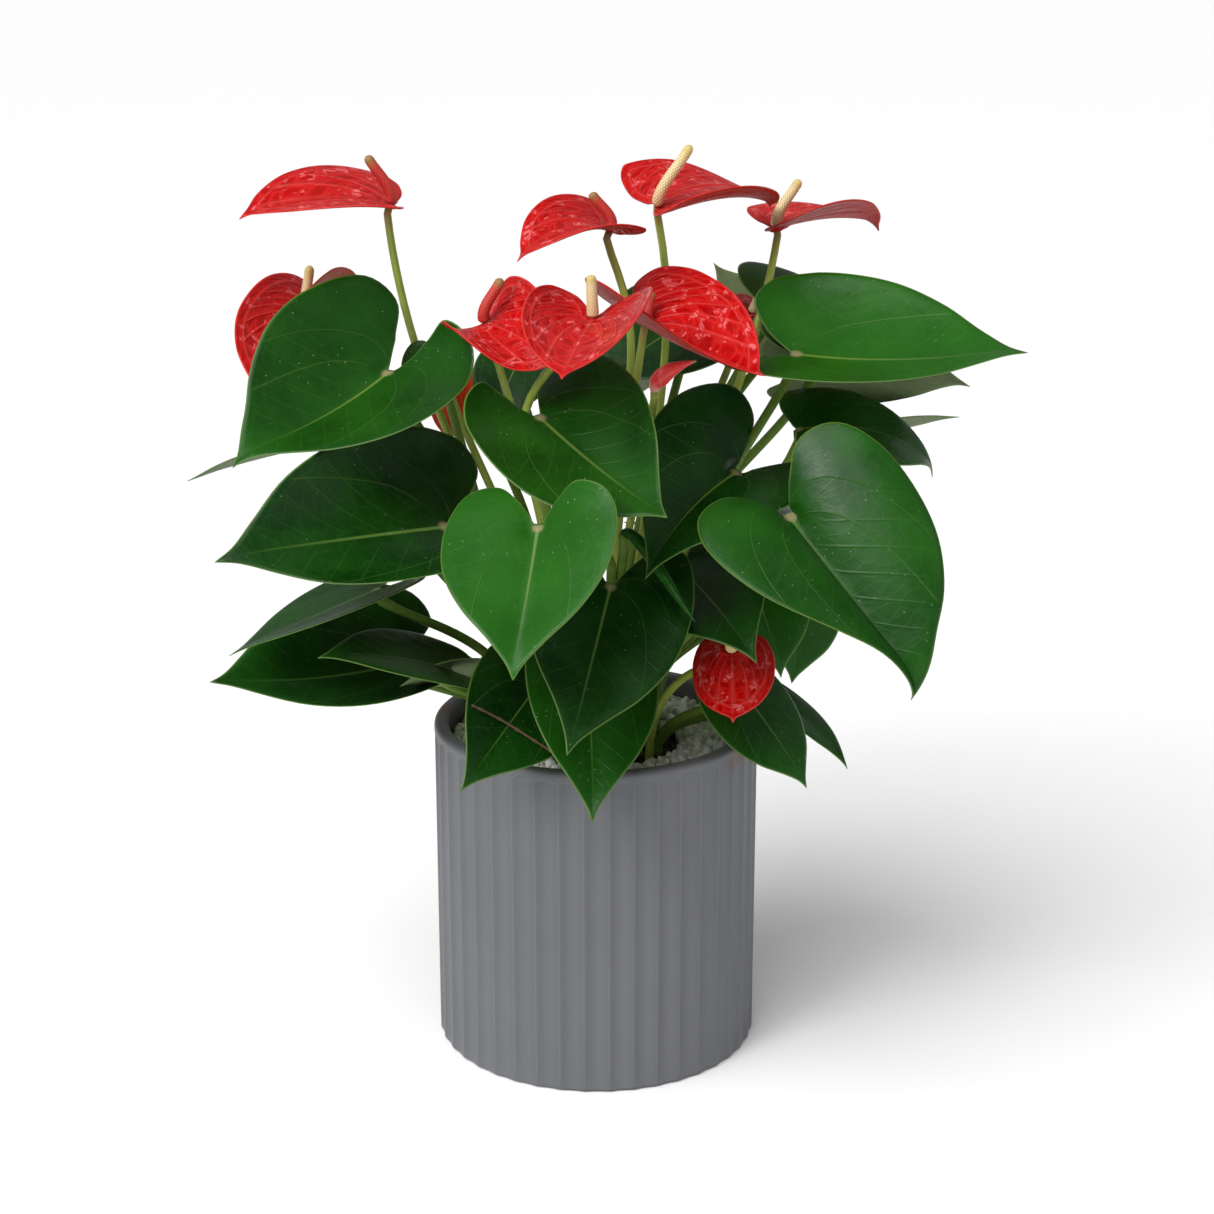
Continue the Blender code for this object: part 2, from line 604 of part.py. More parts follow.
def circle(radius, height, count, turn=0.0):
    """Level ring of points; the radius may be one value for each point."""
    angles = np.arange(count) * 2 * math.pi / count + turn
    radius = np.broadcast_to(radius, count)
    height = np.broadcast_to(height, count)
    return np.stack([radius * np.cos(angles), radius * np.sin(angles), height], -1)


def make_pot():
    """Flutes are hollow scallops that end in rounded arches under a plain lip."""
    count = FLUTE_COUNT * FLUTE_STEPS
    plain = FLUTE_COUNT * 2
    inner = FLUTE_COUNT
    phase = np.sin(np.arange(count) % FLUTE_STEPS * math.pi / FLUTE_STEPS)
    skin = Skin()
    inside = POT_RADIUS - POT_WALL
    rows = [circle(POT_RADIUS - FOOT_EDGE, 0, plain),
            circle(POT_RADIUS - FLUTE_DEPTH * phase, FOOT_EDGE, count),
            circle(POT_RADIUS - FLUTE_DEPTH * phase, FLUTE_TOP - FLUTE_ARCH - 0.5, count),
            circle(POT_RADIUS, FLUTE_TOP - FLUTE_ARCH * (1 - phase), count),
            circle(POT_RADIUS, POT_HEIGHT - LIP_ROUND, plain),
            circle(POT_RADIUS - 0.3 * LIP_ROUND, POT_HEIGHT - 0.3 * LIP_ROUND, plain),
            circle(POT_RADIUS - LIP_ROUND, POT_HEIGHT, plain),
            circle(inside + LIP_ROUND, POT_HEIGHT, plain),
            circle(inside + 0.3 * LIP_ROUND, POT_HEIGHT - 0.3 * LIP_ROUND, inner),
            circle(inside, POT_HEIGHT - LIP_ROUND, inner),
            circle(inside, POT_FLOOR, inner)]
    numbers = [skin.add(row) for row in rows]
    for lower, upper in zip(numbers, numbers[1:]):
        if len(lower) == len(upper):
            skin.band(lower, upper)
        else:
            skin.bridge(lower, upper)
    skin.cap(numbers[0][::-1])
    skin.cap(numbers[-1])
    place("pot", skin.build("pot"), (0.085, 0.095, 0.115), 0.45, smooth=40)


def make_soil(feet, radii):
    """Filling of the pot, with a plain blind hole for each stalk."""
    radius = POT_RADIUS - POT_WALL - GAP
    filling = Skin()
    low = filling.add(circle(radius, POT_FLOOR + GAP, FLUTE_COUNT))
    high = filling.add(circle(radius, SOIL_TOP, FLUTE_COUNT))
    filling.band(low, high)
    filling.cap(low[::-1])
    filling.cap(high)
    holes = Skin()
    for foot, stem in zip(feet, radii):
        wide = (stem + HOLE_CLEAR) / math.cos(math.pi / HOLE_SIDES)
        low = holes.add(circle(wide, SOIL_TOP - HOLE_DEPTH, HOLE_SIDES) + (foot[0], foot[1], 0))
        high = holes.add(circle(wide, SOIL_TOP + 2, HOLE_SIDES) + (foot[0], foot[1], 0))
        holes.band(low, high)
        holes.cap(low[::-1])
        holes.cap(high)
    body = bpy.data.objects.new("soil_block", filling.build("soil_block"))
    cutter = bpy.data.objects.new("stalk_holes", holes.build("stalk_holes"))
    for item in (body, cutter):
        bpy.context.collection.objects.link(item)
    cut = body.modifiers.new("holes", "BOOLEAN")
    cut.operation = "DIFFERENCE"
    cut.solver = "EXACT"
    cut.object = cutter
    depsgraph = bpy.context.evaluated_depsgraph_get()
    mesh = bpy.data.meshes.new_from_object(body.evaluated_get(depsgraph))
    for item in (body, cutter):
        bpy.data.objects.remove(item)
    mesh.materials.clear()
    place("soil", mesh, (0.020, 0.014, 0.010), 0.95)


def make_stones():
    """One ring of chips in relief: every third lattice point stands high, with its own height."""
    skin = Skin()
    inside = STONE_INNER
    outside = POT_RADIUS - POT_WALL - GAP
    foot = SOIL_TOP + GAP
    rows = []
    for row in range(STONE_ROWS + 1):
        part = row / STONE_ROWS
        column = np.arange(STONE_COLUMNS)
        chip = (column + row * 2) % 3 == 0
        uneven = 0.5 + 0.5 * np.sin(column * 12.9898 + row * 78.233)
        height = np.where(chip, STONE_HIGH - 1.6 * uneven, STONE_LOW + 1.8 * uneven)
        height = np.where((row == 0) | (row == STONE_ROWS), STONE_LOW, height)
        turn = (row % 2) * math.pi / STONE_COLUMNS
        rows.append(skin.add(circle(inside + (outside - inside) * part, height, STONE_COLUMNS, turn)))
    turn = (STONE_ROWS % 2) * math.pi / STONE_COLUMNS
    rows.append(skin.add(circle(outside, foot, STONE_COLUMNS, turn)))
    rows.append(skin.add(circle(inside, foot, STONE_COLUMNS)))
    rows.append(rows[0])
    for lower, upper in zip(rows, rows[1:]):
        skin.band(lower, upper)
    place("stone_chips", skin.build("stone_chips"), (0.62, 0.62, 0.60), 0.6, smooth=20)


def spadix_path(blade, tip, count):
    """Centre line of a spadix: it leaves the disc upright and leans to its tip."""
    up = blade_frame(blade)[0][:, 2]
    start = np.asarray(blade.base, float) + up * (BLADE_THICK / 2 + 0.5)
    end = np.asarray(tip, float)
    reach = np.linalg.norm(end - start)
    return bezier((start, start + up * reach * 0.35, start + (end - start) * 0.65, end), count)


def make_spadix(bloom):
    """Finger of tiny knobs, set upright on the disc of the spathe by a narrow neck."""
    part = np.linspace(0, 1, SPADIX_RINGS)
    radii = SPADIX_RADIUS * (1 - 0.2 * part) * np.sqrt(np.clip(1.02 - part ** 8, 0.15, 1))
    radii = radii * (1 + SPADIX_RELIEF * np.where(np.arange(SPADIX_RINGS) % 2 == 0, -1, 1))
    radii[0] = SPADIX_NECK
    path = spadix_path(bloom.blade, bloom.spadix, SPADIX_RINGS)
    skin = Skin()
    skin.tube(path, radii, SPADIX_SIDES, blade_frame(bloom.blade)[0][:, 0], True)
    colour = (0.80, 0.62, 0.30) if bloom.pale else (0.62, 0.05, 0.04)
    place("spadix_" + bloom.name, skin.build(bloom.name), colour, 0.6, smooth=60)


def make_bloom(bloom, path):
    """Spathe, spadix and stalk of one bloom."""
    spathe = blade_skin(bloom.blade, SPATHE_OUTLINE, FINE_STEPS)
    place("spathe_" + bloom.name, spathe.build(bloom.name), (0.62, 0.012, 0.014), 0.25)
    make_spadix(bloom)
    stalk = Skin()
    stalk.tube(path, [FLOWER_STALK_RADIUS] * len(path), TUBE_SIDES, blade_frame(bloom.blade)[0][:, 0], True)
    place("flower_stalk_" + bloom.name, stalk.build(bloom.name), STALK_GREEN, 0.45, smooth=60)


def make_bud(path):
    """Rolled spathe with a beak, on its own stalk."""
    base, tip = np.array(BUD_BASE, float), np.array(BUD_TIP, float)
    along = bezier((base, base + (0, 0, 7), base + (tip - base) * 0.4 + (0, 0, 6), tip), 8)
    radii = [1.8, 3.2, 4.2, 4.4, 3.8, 2.8, 1.6, 0.4]
    bud = Skin()
    bud.tube(along, radii, 8, (1, 0, 0), True)
    place("bud_spathe", bud.build("bud_spathe"), (0.70, 0.05, 0.06), 0.3, smooth=60)
    stalk = Skin()
    stalk.tube(path, [FLOWER_STALK_RADIUS] * len(path), TUBE_SIDES, (1, 0, 0), True)
    place("flower_stalk_bud", stalk.build("flower_stalk_bud"), STALK_GREEN, 0.45, smooth=60)


def make_new_leaf(path):
    """Stalk that bends over into a tightly rolled young blade."""
    top, tip = np.array(NEW_LEAF_TOP, float), np.array(NEW_LEAF_TIP, float)
    roll = bezier((top, top + (6, -3, 6), top + (tip - top) * 0.6, tip), 8)
    whole = np.vstack([path[::-1], roll[1:]])
    radii = [PETIOLE_RADIUS] * len(path) + [2.6, 3.1, 3.2, 3.0, 2.4, 1.5, 0.4]
    skin = Skin()
    skin.tube(whole, radii, TUBE_SIDES, (1, 0, 0), True)
    place("leaf_rolled", skin.build("leaf_rolled"), GREEN, 0.3, smooth=60)


def make_leaf(leaf, paths):
    """Blades grown in one with their stalks, which share a crown where there are several."""
    steps = FINE_STEPS if len(leaf.blades) == 1 else PLAIN_STEPS
    if len(paths) > 1:
        paths = [np.vstack([path[:-1], path[-1] + (0, 0, CROWN_STEP * (1 + number))])
                 for number, path in enumerate(paths)]
    skins = [blade_skin(blade, LEAF_OUTLINE, steps, path) for blade, path in zip(leaf.blades, paths)]
    meshes = [skin.build(leaf.name) for skin in skins]
    if len(meshes) > 1:
        foot = np.mean([path[-1] for path in paths], axis=0) * (1, 1, 0)
        crown = Skin()
        low = crown.add(circle(CROWN_RADIUS, SOIL_TOP - HOLE_DEPTH + GAP, 8) + foot)
        high = crown.add(circle(CROWN_RADIUS * 0.9, SOIL_TOP + 8, 8) + foot)
        crown.band(low, high)
        crown.cap(low[::-1])
        crown.cap(high)
        meshes = [fused(leaf.name, [crown.build(leaf.name)] + meshes)]
    place(leaf.name, meshes[0], leaf.colour, 0.3)


def grow_stalks():
    """Paths of all stalks, each kept clear of the blades and of the stalks grown before it."""
    Stem = namedtuple("Stem", "owner top down foot habit way own")
    sheets, stems = [], []
    owners = [(bloom.name, [bloom.blade], SPATHE_OUTLINE, BLADE_THICK / 2 + GAP) for bloom in BLOOMS]
    owners += [(leaf.name, leaf.blades, LEAF_OUTLINE, BLADE_THICK / 2 + KNOB_DROP) for leaf in LEAVES]
    wishes = [wanted_foot(blades[0].base) for _, blades, _, _ in owners]
    feet = spread(wishes + [wanted_foot(BUD_BASE), wanted_foot(NEW_LEAF_TOP)])
    for (name, blades, outline, drop), foot in zip(owners, feet):
        for blade in blades:
            up = blade_frame(blade)[0][:, 2]
            top = np.asarray(blade.base, float) - up * drop
            apart = CROWN_SPREAD * unit(blade.base[:2]) if len(blades) > 1 else (0, 0)
            stems.append(Stem(name, top, -up, foot + apart, blade.bow, blade.way, len(sheets)))
            sheets.append(blade_grid(blade, outline, ROUTE_STEPS)[0])
    down = np.array([0, 0, -1.0])
    stems.append(Stem("bud", np.array(BUD_BASE, float) + down * GAP, down, feet[-2], (0, 0), None, None))
    stems.append(Stem("rolled", np.array(NEW_LEAF_TOP, float), down, feet[-1], (0, 0), None, None))
    fixed = [(bloom.name, sampled(spadix_path(bloom.blade, bloom.spadix, SPADIX_RINGS))) for bloom in BLOOMS]
    bare = tree_of([np.full((2, 2, 3), 1e4)])
    trees = [(tree_of(sheets[:i] + sheets[i + 1:]), tree_of([sheets[i]])) for i in range(len(sheets))]
    whole = tree_of(sheets)
    paths = {}
    for _ in range(2):
        for number, stem in enumerate(stems):
            if stem.way is not None:
                paths[number] = stalk_curve(stem.top, stem.down, stem.foot, stem.way, stem.habit)
                continue
            others = [sampled(path) for key, path in paths.items() if stems[key].owner != stem.owner]
            others += [spadix for name, spadix in fixed if name != stem.owner]
            tree, own_tree = (whole, bare) if stem.own is None else trees[stem.own]
            paths[number] = grown(stem.top, stem.down, stem.foot, stem.habit, tree, own_tree,
                                  tree_of_points(np.vstack(others)))
    return stems, paths, feet


stems, paths, feet = grow_stalks()
hole_radii = [FLOWER_STALK_RADIUS] * len(BLOOMS)
hole_radii += [CROWN_RADIUS if len(leaf.blades) > 1 else PETIOLE_RADIUS * 1.15 for leaf in LEAVES]
hole_radii += [FLOWER_STALK_RADIUS, PETIOLE_RADIUS]

make_pot()
make_soil(feet, hole_radii)
make_stones()
for bloom in BLOOMS:
    make_bloom(bloom, *[paths[key] for key in paths if stems[key].owner == bloom.name])
for leaf in LEAVES:
    make_leaf(leaf, [paths[key] for key in paths if stems[key].owner == leaf.name])
make_bud(paths[len(stems) - 2])
make_new_leaf(paths[len(stems) - 1])
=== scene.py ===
# %% [markdown]
# A potted flamingo flower: the looks
#
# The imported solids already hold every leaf, bloom, stalk and the pot at their real size. This lesson grows
# a finer plant round them. We load the solids as a fixed frame, and each fine piece then takes the place of
# one. The plant's numbers are in millimetres and degrees, and turn into Blender's metres only in the last
# step.

# %% Load the fixed frame
import json
import math
from collections import namedtuple

import bpy
import numpy as np
from mathutils.bvhtree import BVHTree
from mathutils.kdtree import KDTree
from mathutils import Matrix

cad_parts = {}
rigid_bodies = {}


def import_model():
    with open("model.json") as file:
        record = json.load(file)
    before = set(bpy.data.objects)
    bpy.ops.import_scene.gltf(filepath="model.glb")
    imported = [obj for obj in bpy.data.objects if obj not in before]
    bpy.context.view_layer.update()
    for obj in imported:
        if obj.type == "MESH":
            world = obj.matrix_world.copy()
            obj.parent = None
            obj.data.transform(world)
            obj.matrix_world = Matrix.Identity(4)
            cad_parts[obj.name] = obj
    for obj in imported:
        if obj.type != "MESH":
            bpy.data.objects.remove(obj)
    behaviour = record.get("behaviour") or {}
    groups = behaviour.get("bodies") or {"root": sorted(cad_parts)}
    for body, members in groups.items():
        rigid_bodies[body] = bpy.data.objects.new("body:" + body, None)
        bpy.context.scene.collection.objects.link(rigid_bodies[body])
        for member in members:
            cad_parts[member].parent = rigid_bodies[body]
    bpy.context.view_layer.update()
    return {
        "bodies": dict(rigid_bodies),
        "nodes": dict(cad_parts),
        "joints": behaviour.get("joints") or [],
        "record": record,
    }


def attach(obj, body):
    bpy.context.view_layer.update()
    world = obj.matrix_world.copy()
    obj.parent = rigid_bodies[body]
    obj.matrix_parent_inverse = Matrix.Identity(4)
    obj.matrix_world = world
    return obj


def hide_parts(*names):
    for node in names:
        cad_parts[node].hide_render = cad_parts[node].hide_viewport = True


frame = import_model()
MM = 0.001

# %% [markdown]
# The camera stands where the photographer stood: a little above the plant, looking down at it. Its place
# and lens come from the pot, whose rim and foot are two circles of known size. The picture is square, and a
# long lens keeps the pot's sides nearly parallel.

# %% Camera at the photograph's angle
IMAGE_PIXELS = 1214
FOCAL_PIXELS = 2475
SENSOR_WIDTH = 36.0
CAMERA_PLACE = (0.0, -1.190, 0.5995)
CAMERA_PITCH = 17.34
CAMERA_YAW = 0.27
CAMERA_RANGE = 200

camera_data = bpy.data.cameras.new("camera")
camera_data.sensor_width = SENSOR_WIDTH
camera_data.lens = FOCAL_PIXELS * SENSOR_WIDTH / IMAGE_PIXELS
camera_data.clip_end = CAMERA_RANGE
camera = bpy.data.objects.new("camera", camera_data)
camera.location = CAMERA_PLACE
camera.rotation_euler = (math.radians(90 - CAMERA_PITCH), 0, -math.radians(CAMERA_YAW))
bpy.context.scene.collection.objects.link(camera)
bpy.context.scene.camera = camera
bpy.context.scene.view_settings.view_transform = "Standard"
print("lens:", round(camera_data.lens, 1), "mm")

# %% [markdown]
# Shader maths reads best as arithmetic. A Signal wraps the output of one node, and its operators add Math
# nodes, so that 1 - mask is written as it is said. A Finish is one material: its node method adds any other
# node from a type, the node's settings, and the values or signals for its sockets.


# %% Shader maths as expressions
class Signal:
    """The output of a node; arithmetic on it adds Math nodes."""

    def __init__(self, finish, socket):
        self.finish = finish
        self.socket = socket

    def math(self, operation, *values):
        """One Math node with these values."""
        return self.finish.node("ShaderNodeMath", {"operation": operation}, dict(enumerate(values)))

    def __add__(self, other):
        return self.math("ADD", self, other)

    def __sub__(self, other):
        return self.math("SUBTRACT", self, other)

    def __rsub__(self, other):
        return self.math("SUBTRACT", other, self)

    def __mul__(self, other):
        return self.math("MULTIPLY", self, other)

    def __pow__(self, other):
        return self.math("POWER", self, other)

    def __abs__(self):
        return self.math("ABSOLUTE", self)

    __radd__ = __add__
    __rmul__ = __mul__

    def larger(self, other):
        """The larger of the two."""
        return self.math("MAXIMUM", self, other)

    def wave(self):
        """Distance to the nearest whole number, from 0 to a half."""
        return abs(self.math("FRACT", self + 0.5) - 0.5)

    def rise(self, low, high):
        """Smooth step from 0 at low to 1 at high, or the other way round where low is the larger."""
        return self.finish.node("ShaderNodeMapRange", {"interpolation_type": "SMOOTHSTEP"},
                                {"Value": self, "From Min": low, "From Max": high})


class Finish:
    """One material, built up from signals."""

    def __init__(self, name, **constants):
        self.material = bpy.data.materials.new(name)
        self.material.use_nodes = True
        self.tree = self.material.node_tree
        self.surface = self.tree.nodes["Principled BSDF"]
        self.shade(**constants)

    def put(self, socket, value):
        """Links a signal to a socket, or sets the socket's own value."""
        if isinstance(value, Signal):
            self.tree.links.new(value.socket, socket)
        elif isinstance(value, tuple) and socket.type == "RGBA":
            socket.default_value = value + (1.0,)
        else:
            socket.default_value = value

    def shade(self, **values):
        """Sets sockets of the surface by their names, with _ for the space."""
        for name, value in values.items():
            self.put(self.surface.inputs[name.replace("_", " ")], value)

    def node(self, kind, settings=None, sockets=None, out=0):
        """Adds a node: its settings first, then its sockets; returns one of its outputs."""
        made = self.tree.nodes.new(kind)
        for name, value in (settings or {}).items():
            setattr(made, name, value)
        for key, value in (sockets or {}).items():
            self.put(made.inputs[key], value)
        return Signal(self, made.outputs[out])

    def mix(self, factor, first, second):
        """Colour between two colours."""
        return self.node("ShaderNodeMix", {"data_type": "RGBA"}, {0: factor, 6: first, 7: second}, out=2)

    def place(self):
        """Object coordinates, in metres."""
        return self.node("ShaderNodeTexCoord", out=3)

    def trait(self, name):
        """The three numbers of a mesh attribute."""
        vector = self.node("ShaderNodeAttribute", {"attribute_name": name}, out=1)
        return [self.node("ShaderNodeSeparateXYZ", None, {0: vector}, out=i) for i in range(3)]

    def vector(self, x, y, z=0.0):
        """Vector from three numbers."""
        return self.node("ShaderNodeCombineXYZ", None, {0: x, 1: y, 2: z})

    def noise(self, where, scale, detail=2.0):
        """Soft noise about one half."""
        return self.node("ShaderNodeTexNoise", None, {"Vector": where, "Scale": scale, "Detail": detail})

    def cells(self, where, scale, feature="F1", randomness=1.0):
        """Distance inside the cells of a Voronoi pattern."""
        return self.node("ShaderNodeTexVoronoi", {"feature": feature},
                         {"Vector": where, "Scale": scale, "Randomness": randomness})

    def apart(self, where, point):
        """Distance from a point."""
        return self.node("ShaderNodeVectorMath", {"operation": "DISTANCE"}, {0: where, 1: point}, out=1)

    def bump(self, height, depth):
        """Surface normal for a height from 0 to 1 that stands for a depth in metres."""
        self.shade(Normal=self.node("ShaderNodeBump", None, {"Height": height, "Distance": depth}))


print("shader helpers ready")

# %% [markdown]
# Leaves. A blade is glossy dark green. Its margin is a thin pale line, the midrib is pale where it starts
# and fades towards the tip, and fainter veins curve out from the joint and run on beside the margin. The
# mesh carries that pattern with it: one attribute holds the place on the flat blade (across in half widths,
# along in blade lengths, distance to the margin in centimetres), the other holds the side (1 above, 0
# below, -1 on the stalk), the leaf's own tone, and the number of the curved vein at that point. A vein is
# then simply where that number is whole. Painted images would do it too, but they would need one for each
# leaf, while numbers carried by the mesh stay sharp at any distance.


# %% Leaf finish
LEAF_DEEP = (0.0015, 0.024, 0.0015)
LEAF_FRESH = (0.013, 0.101, 0.004)
LEAF_UNDER = (0.170, 0.220, 0.115)
LEAF_UNDER_DEEP = (0.105, 0.155, 0.062)
LEAF_UNDER_VEIN = (0.250, 0.310, 0.150)
LEAF_VEIN = (0.080, 0.180, 0.030)
LEAF_MARGIN = (0.140, 0.240, 0.045)
JOINT_PALE = (0.300, 0.260, 0.130)
DUST = (0.400, 0.450, 0.360)
PETIOLE_GREEN = (0.170, 0.270, 0.040)
PETIOLE_DARK = (0.060, 0.140, 0.018)


def leaf_finish():
    """Green between deep and fresh by tone; pale margin, joint and veins; dust specks; an olive stalk."""
    leaf = Finish("leaf_green", Specular_IOR_Level=0.18)
    across, along, edge = leaf.trait("flat")
    upper, tone, vein = leaf.trait("trait")
    petiole = upper.rise(-0.2, -0.8)
    upper = upper.larger(0.0)
    place = leaf.place()
    cloudy = leaf.noise(place, 32.0, 3.0)
    fine = leaf.noise(place, 420.0, 3.0)
    side = abs(across)
    midrib = (side - (0.014 - along * 0.012)).rise(0.014, -0.002) * along.rise(-0.04, 0.0)
    midrib = midrib * along.rise(1.05, 0.05)
    sway = (cloudy - 0.5) * 0.08
    arcs = (vein + sway).wave().rise(0.030, 0.0) * side.rise(0.02, 0.06) * edge.rise(0.1, 0.4)
    arcs = arcs * vein.rise(2.6, 2.2)
    slanted = ((along - side * 0.52 + side * side * 0.14) * 7.0 + sway * 2.5).wave().rise(0.07, 0.0)
    slanted = slanted * side.rise(0.02, 0.10) * edge.rise(0.2, 0.7) * along.rise(0.05, 0.25)
    collar = abs(edge - 0.42 - sway * 0.5).rise(0.05, 0.0)
    net = leaf.cells(leaf.vector(vein * 3.2 + cloudy, along * 19.0), 1.0, "DISTANCE_TO_EDGE").rise(0.10, 0.0)
    joint = (across * across * 0.2 + along * along).rise(0.0014, 0.0)
    body = leaf.mix((tone + (cloudy - 0.5) * 1.1).larger(0.0), LEAF_DEEP, LEAF_FRESH)
    body = leaf.mix((fine - 0.5) * 0.25 + 0.05, body, LEAF_FRESH)
    body = leaf.mix(net * 0.04 + slanted * 0.08 + collar * 0.04 + arcs * 0.28, body, LEAF_VEIN)
    body = leaf.mix(midrib * 0.70, body, LEAF_MARGIN)
    below = leaf.mix(cloudy * 0.7 + fine * 0.3, LEAF_UNDER, LEAF_UNDER_DEEP)
    below = leaf.mix(arcs * 0.50 + midrib * 0.70 + slanted * 0.35 + net * 0.12, below, LEAF_UNDER_VEIN)
    body = leaf.mix(upper, below, body)
    body = leaf.mix(joint * 0.75, body, JOINT_PALE)
    body = leaf.mix(edge.rise(0.080, 0.030) * 0.50, body, LEAF_MARGIN)
    specks = leaf.cells(place, 260.0).rise(0.12, 0.05) * leaf.noise(place, 60.0).rise(0.47, 0.60) * upper
    body = leaf.mix(specks * 0.4, body, DUST)
    body = leaf.mix(petiole, body, leaf.mix(cloudy * 0.7 + fine * 0.3, PETIOLE_DARK, PETIOLE_GREEN))
    leaf.shade(Base_Color=body, Roughness=0.18 + cloudy * 0.28 + (1.0 - upper) * 0.24 + specks * 0.3)
    leaf.bump(cloudy * 1.8 + midrib * 0.30 + arcs * 0.30 + slanted * 0.16 + net * 0.04 + fine * 0.05, 0.0006)
    return leaf.material


# %% [markdown]
# Spathes. The red leaf of a bloom is lacquer-bright and puckered: smooth pale-red veins stand up in arcs
# that leave the spadix and join one vein that follows the margin, and short cross veins make a net between
# them. The same vein number as on the leaves gives the arcs, and a Voronoi pattern laid along it gives the
# net. Small pale dashes beside the net stand for the shine on the puckers, because a bump of this size is
# too fine to catch a soft light. The underside is duller, and orange on some blooms.


# %% Spathe finish
SPATHE_RED = (0.460, 0.0016, 0.0020)
SPATHE_DEEP = (0.250, 0.0006, 0.0008)
SPATHE_VEIN = (0.700, 0.070, 0.058)
SPATHE_GLINT = (0.860, 0.230, 0.240)
SPATHE_UNDER = (0.400, 0.008, 0.005)
SPATHE_ORANGE = (0.520, 0.085, 0.016)


def spathe_finish():
    """Red that deepens between paler veins, with a net across them and small glints beside the net."""
    spathe = Finish("spathe_red", Specular_IOR_Level=0.16)
    across, along, edge = spathe.trait("flat")
    upper, tone, vein = spathe.trait("trait")
    place = spathe.place()
    cloudy = spathe.noise(place, 60.0, 3.0)
    side = abs(across)
    out = (across * across * 0.25 + along * along) ** 0.5
    sway = (cloudy - 0.5) * 0.16
    arcs = (vein + sway).wave().rise(0.17, 0.0) * edge.rise(0.30, 0.55) * side.rise(0.01, 0.05)
    border = abs(edge - 0.48 - sway * 0.8).rise(0.10, 0.02)
    midrib = side.rise(0.045, 0.005) * along.rise(-0.02, 0.04) * along.rise(1.0, 0.7)
    grid = spathe.vector(vein * 1.1 + sway * 2.0, out * 11.0 + vein * 0.7)
    cell = spathe.cells(grid, 1.0, "DISTANCE_TO_EDGE", 0.75)
    net = cell.rise(0.16, 0.0)
    dome = cell.rise(0.0, 0.40)
    glints = cell.rise(0.02, 0.09) * cell.rise(0.26, 0.12) * spathe.noise(place, 170.0, 2.0).rise(0.56, 0.67)
    lines = arcs.larger(net * 0.32).larger(midrib * 0.8).larger(border * 0.8)
    red = spathe.mix(dome * 0.60 + (cloudy - 0.5) * 0.8, SPATHE_RED, SPATHE_DEEP)
    red = spathe.mix(lines * 0.42, red, SPATHE_VEIN)
    red = spathe.mix(edge.rise(0.09, 0.03) * 0.35, red, SPATHE_VEIN)
    red = spathe.mix(glints * edge.rise(0.05, 0.20) * 0.52, red, SPATHE_GLINT)
    below = spathe.mix(tone, SPATHE_UNDER, SPATHE_ORANGE)
    below = spathe.mix(lines * 0.25 + cloudy * 0.5, below, SPATHE_RED)
    spathe.shade(Base_Color=spathe.mix(upper, below, red),
                 Roughness=0.12 + (1.0 - upper) * 0.26 + cloudy * 0.10)
    spathe.bump(lines * 0.5 + dome * 0.25 + cloudy * 1.2, 0.0007)
    return spathe.material


# %% [markdown]
# Stalks, spadices and the bud share one recipe each. A stalk is olive green, browner and paler at its top,
# with fine lengthwise lines: noise stretched along its length draws them without any image. A spadix is
# covered with tiny flowers, so its colour changes between their tips and the gaps, and from its foot to its
# tip. Its mesh knows where each flower stands, so the colour follows that number and never slips off it.


# %% Stalk, spadix and bud finishes
STALK_GREEN = (0.420, 0.500, 0.085)
STALK_DARK = (0.250, 0.340, 0.044)
STALK_TOP = (0.240, 0.100, 0.035)


def stalk_finish():
    """Olive green with fine lines along the stalk, browner over its top sixteen millimetres."""
    stalk = Finish("stalk_green", Specular_IOR_Level=0.4)
    turn, down, knuckle = stalk.trait("flat")
    place = stalk.place()
    cloudy = stalk.noise(place, 60.0, 3.0)
    lines = stalk.noise(stalk.vector(turn * 14.0, down * 0.5), 3.0, 3.0)
    green = stalk.mix(cloudy * 0.8 + (lines - 0.5) * 0.8, STALK_DARK, STALK_GREEN)
    green = stalk.mix(down.rise(0.16, 0.0) * knuckle * 0.85, green, STALK_TOP)
    stalk.shade(Base_Color=green, Roughness=0.36 + lines * 0.2)
    stalk.bump(lines, 0.0003)
    return stalk.material


SPADIX_CREAM = (0.560, 0.430, 0.190)
SPADIX_PALE = (0.860, 0.800, 0.550)
SPADIX_ORANGE = (0.720, 0.240, 0.090)
SPADIX_YELLOW = (0.540, 0.420, 0.120)
SPADIX_RED = (0.420, 0.014, 0.010)
SPADIX_ROSE = (0.620, 0.060, 0.035)
SPADIX_OLIVE = (0.240, 0.165, 0.040)


def spadix_finish(name, low, tips, crown, blush):
    """Tiny flowers: pale tips on a deeper ground, another colour at the top, and a blush up one side."""
    spadix = Finish(name)
    turn, up, knob = spadix.trait("flat")
    cloudy = spadix.noise(spadix.place(), 220.0, 2.0)
    colour = spadix.mix(knob.rise(0.2, 0.8), low, tips)
    colour = spadix.mix((turn.wave() * 2.0).rise(0.5, 0.95) * up.rise(0.95, 0.3) * 0.12, colour, blush)
    colour = spadix.mix(up.rise(0.72, 0.95) * 0.85, colour, crown)
    spadix.shade(Base_Color=colour, Roughness=0.42 + cloudy * 0.2)
    return spadix.material


BUD_ROSE = (0.880, 0.018, 0.020)
BUD_LIGHT = (0.940, 0.110, 0.100)
BUD_FOOT = (0.930, 0.560, 0.480)
BUD_LAP = (0.860, 0.230, 0.220)
BUD_BEAK = (0.420, 0.330, 0.080)


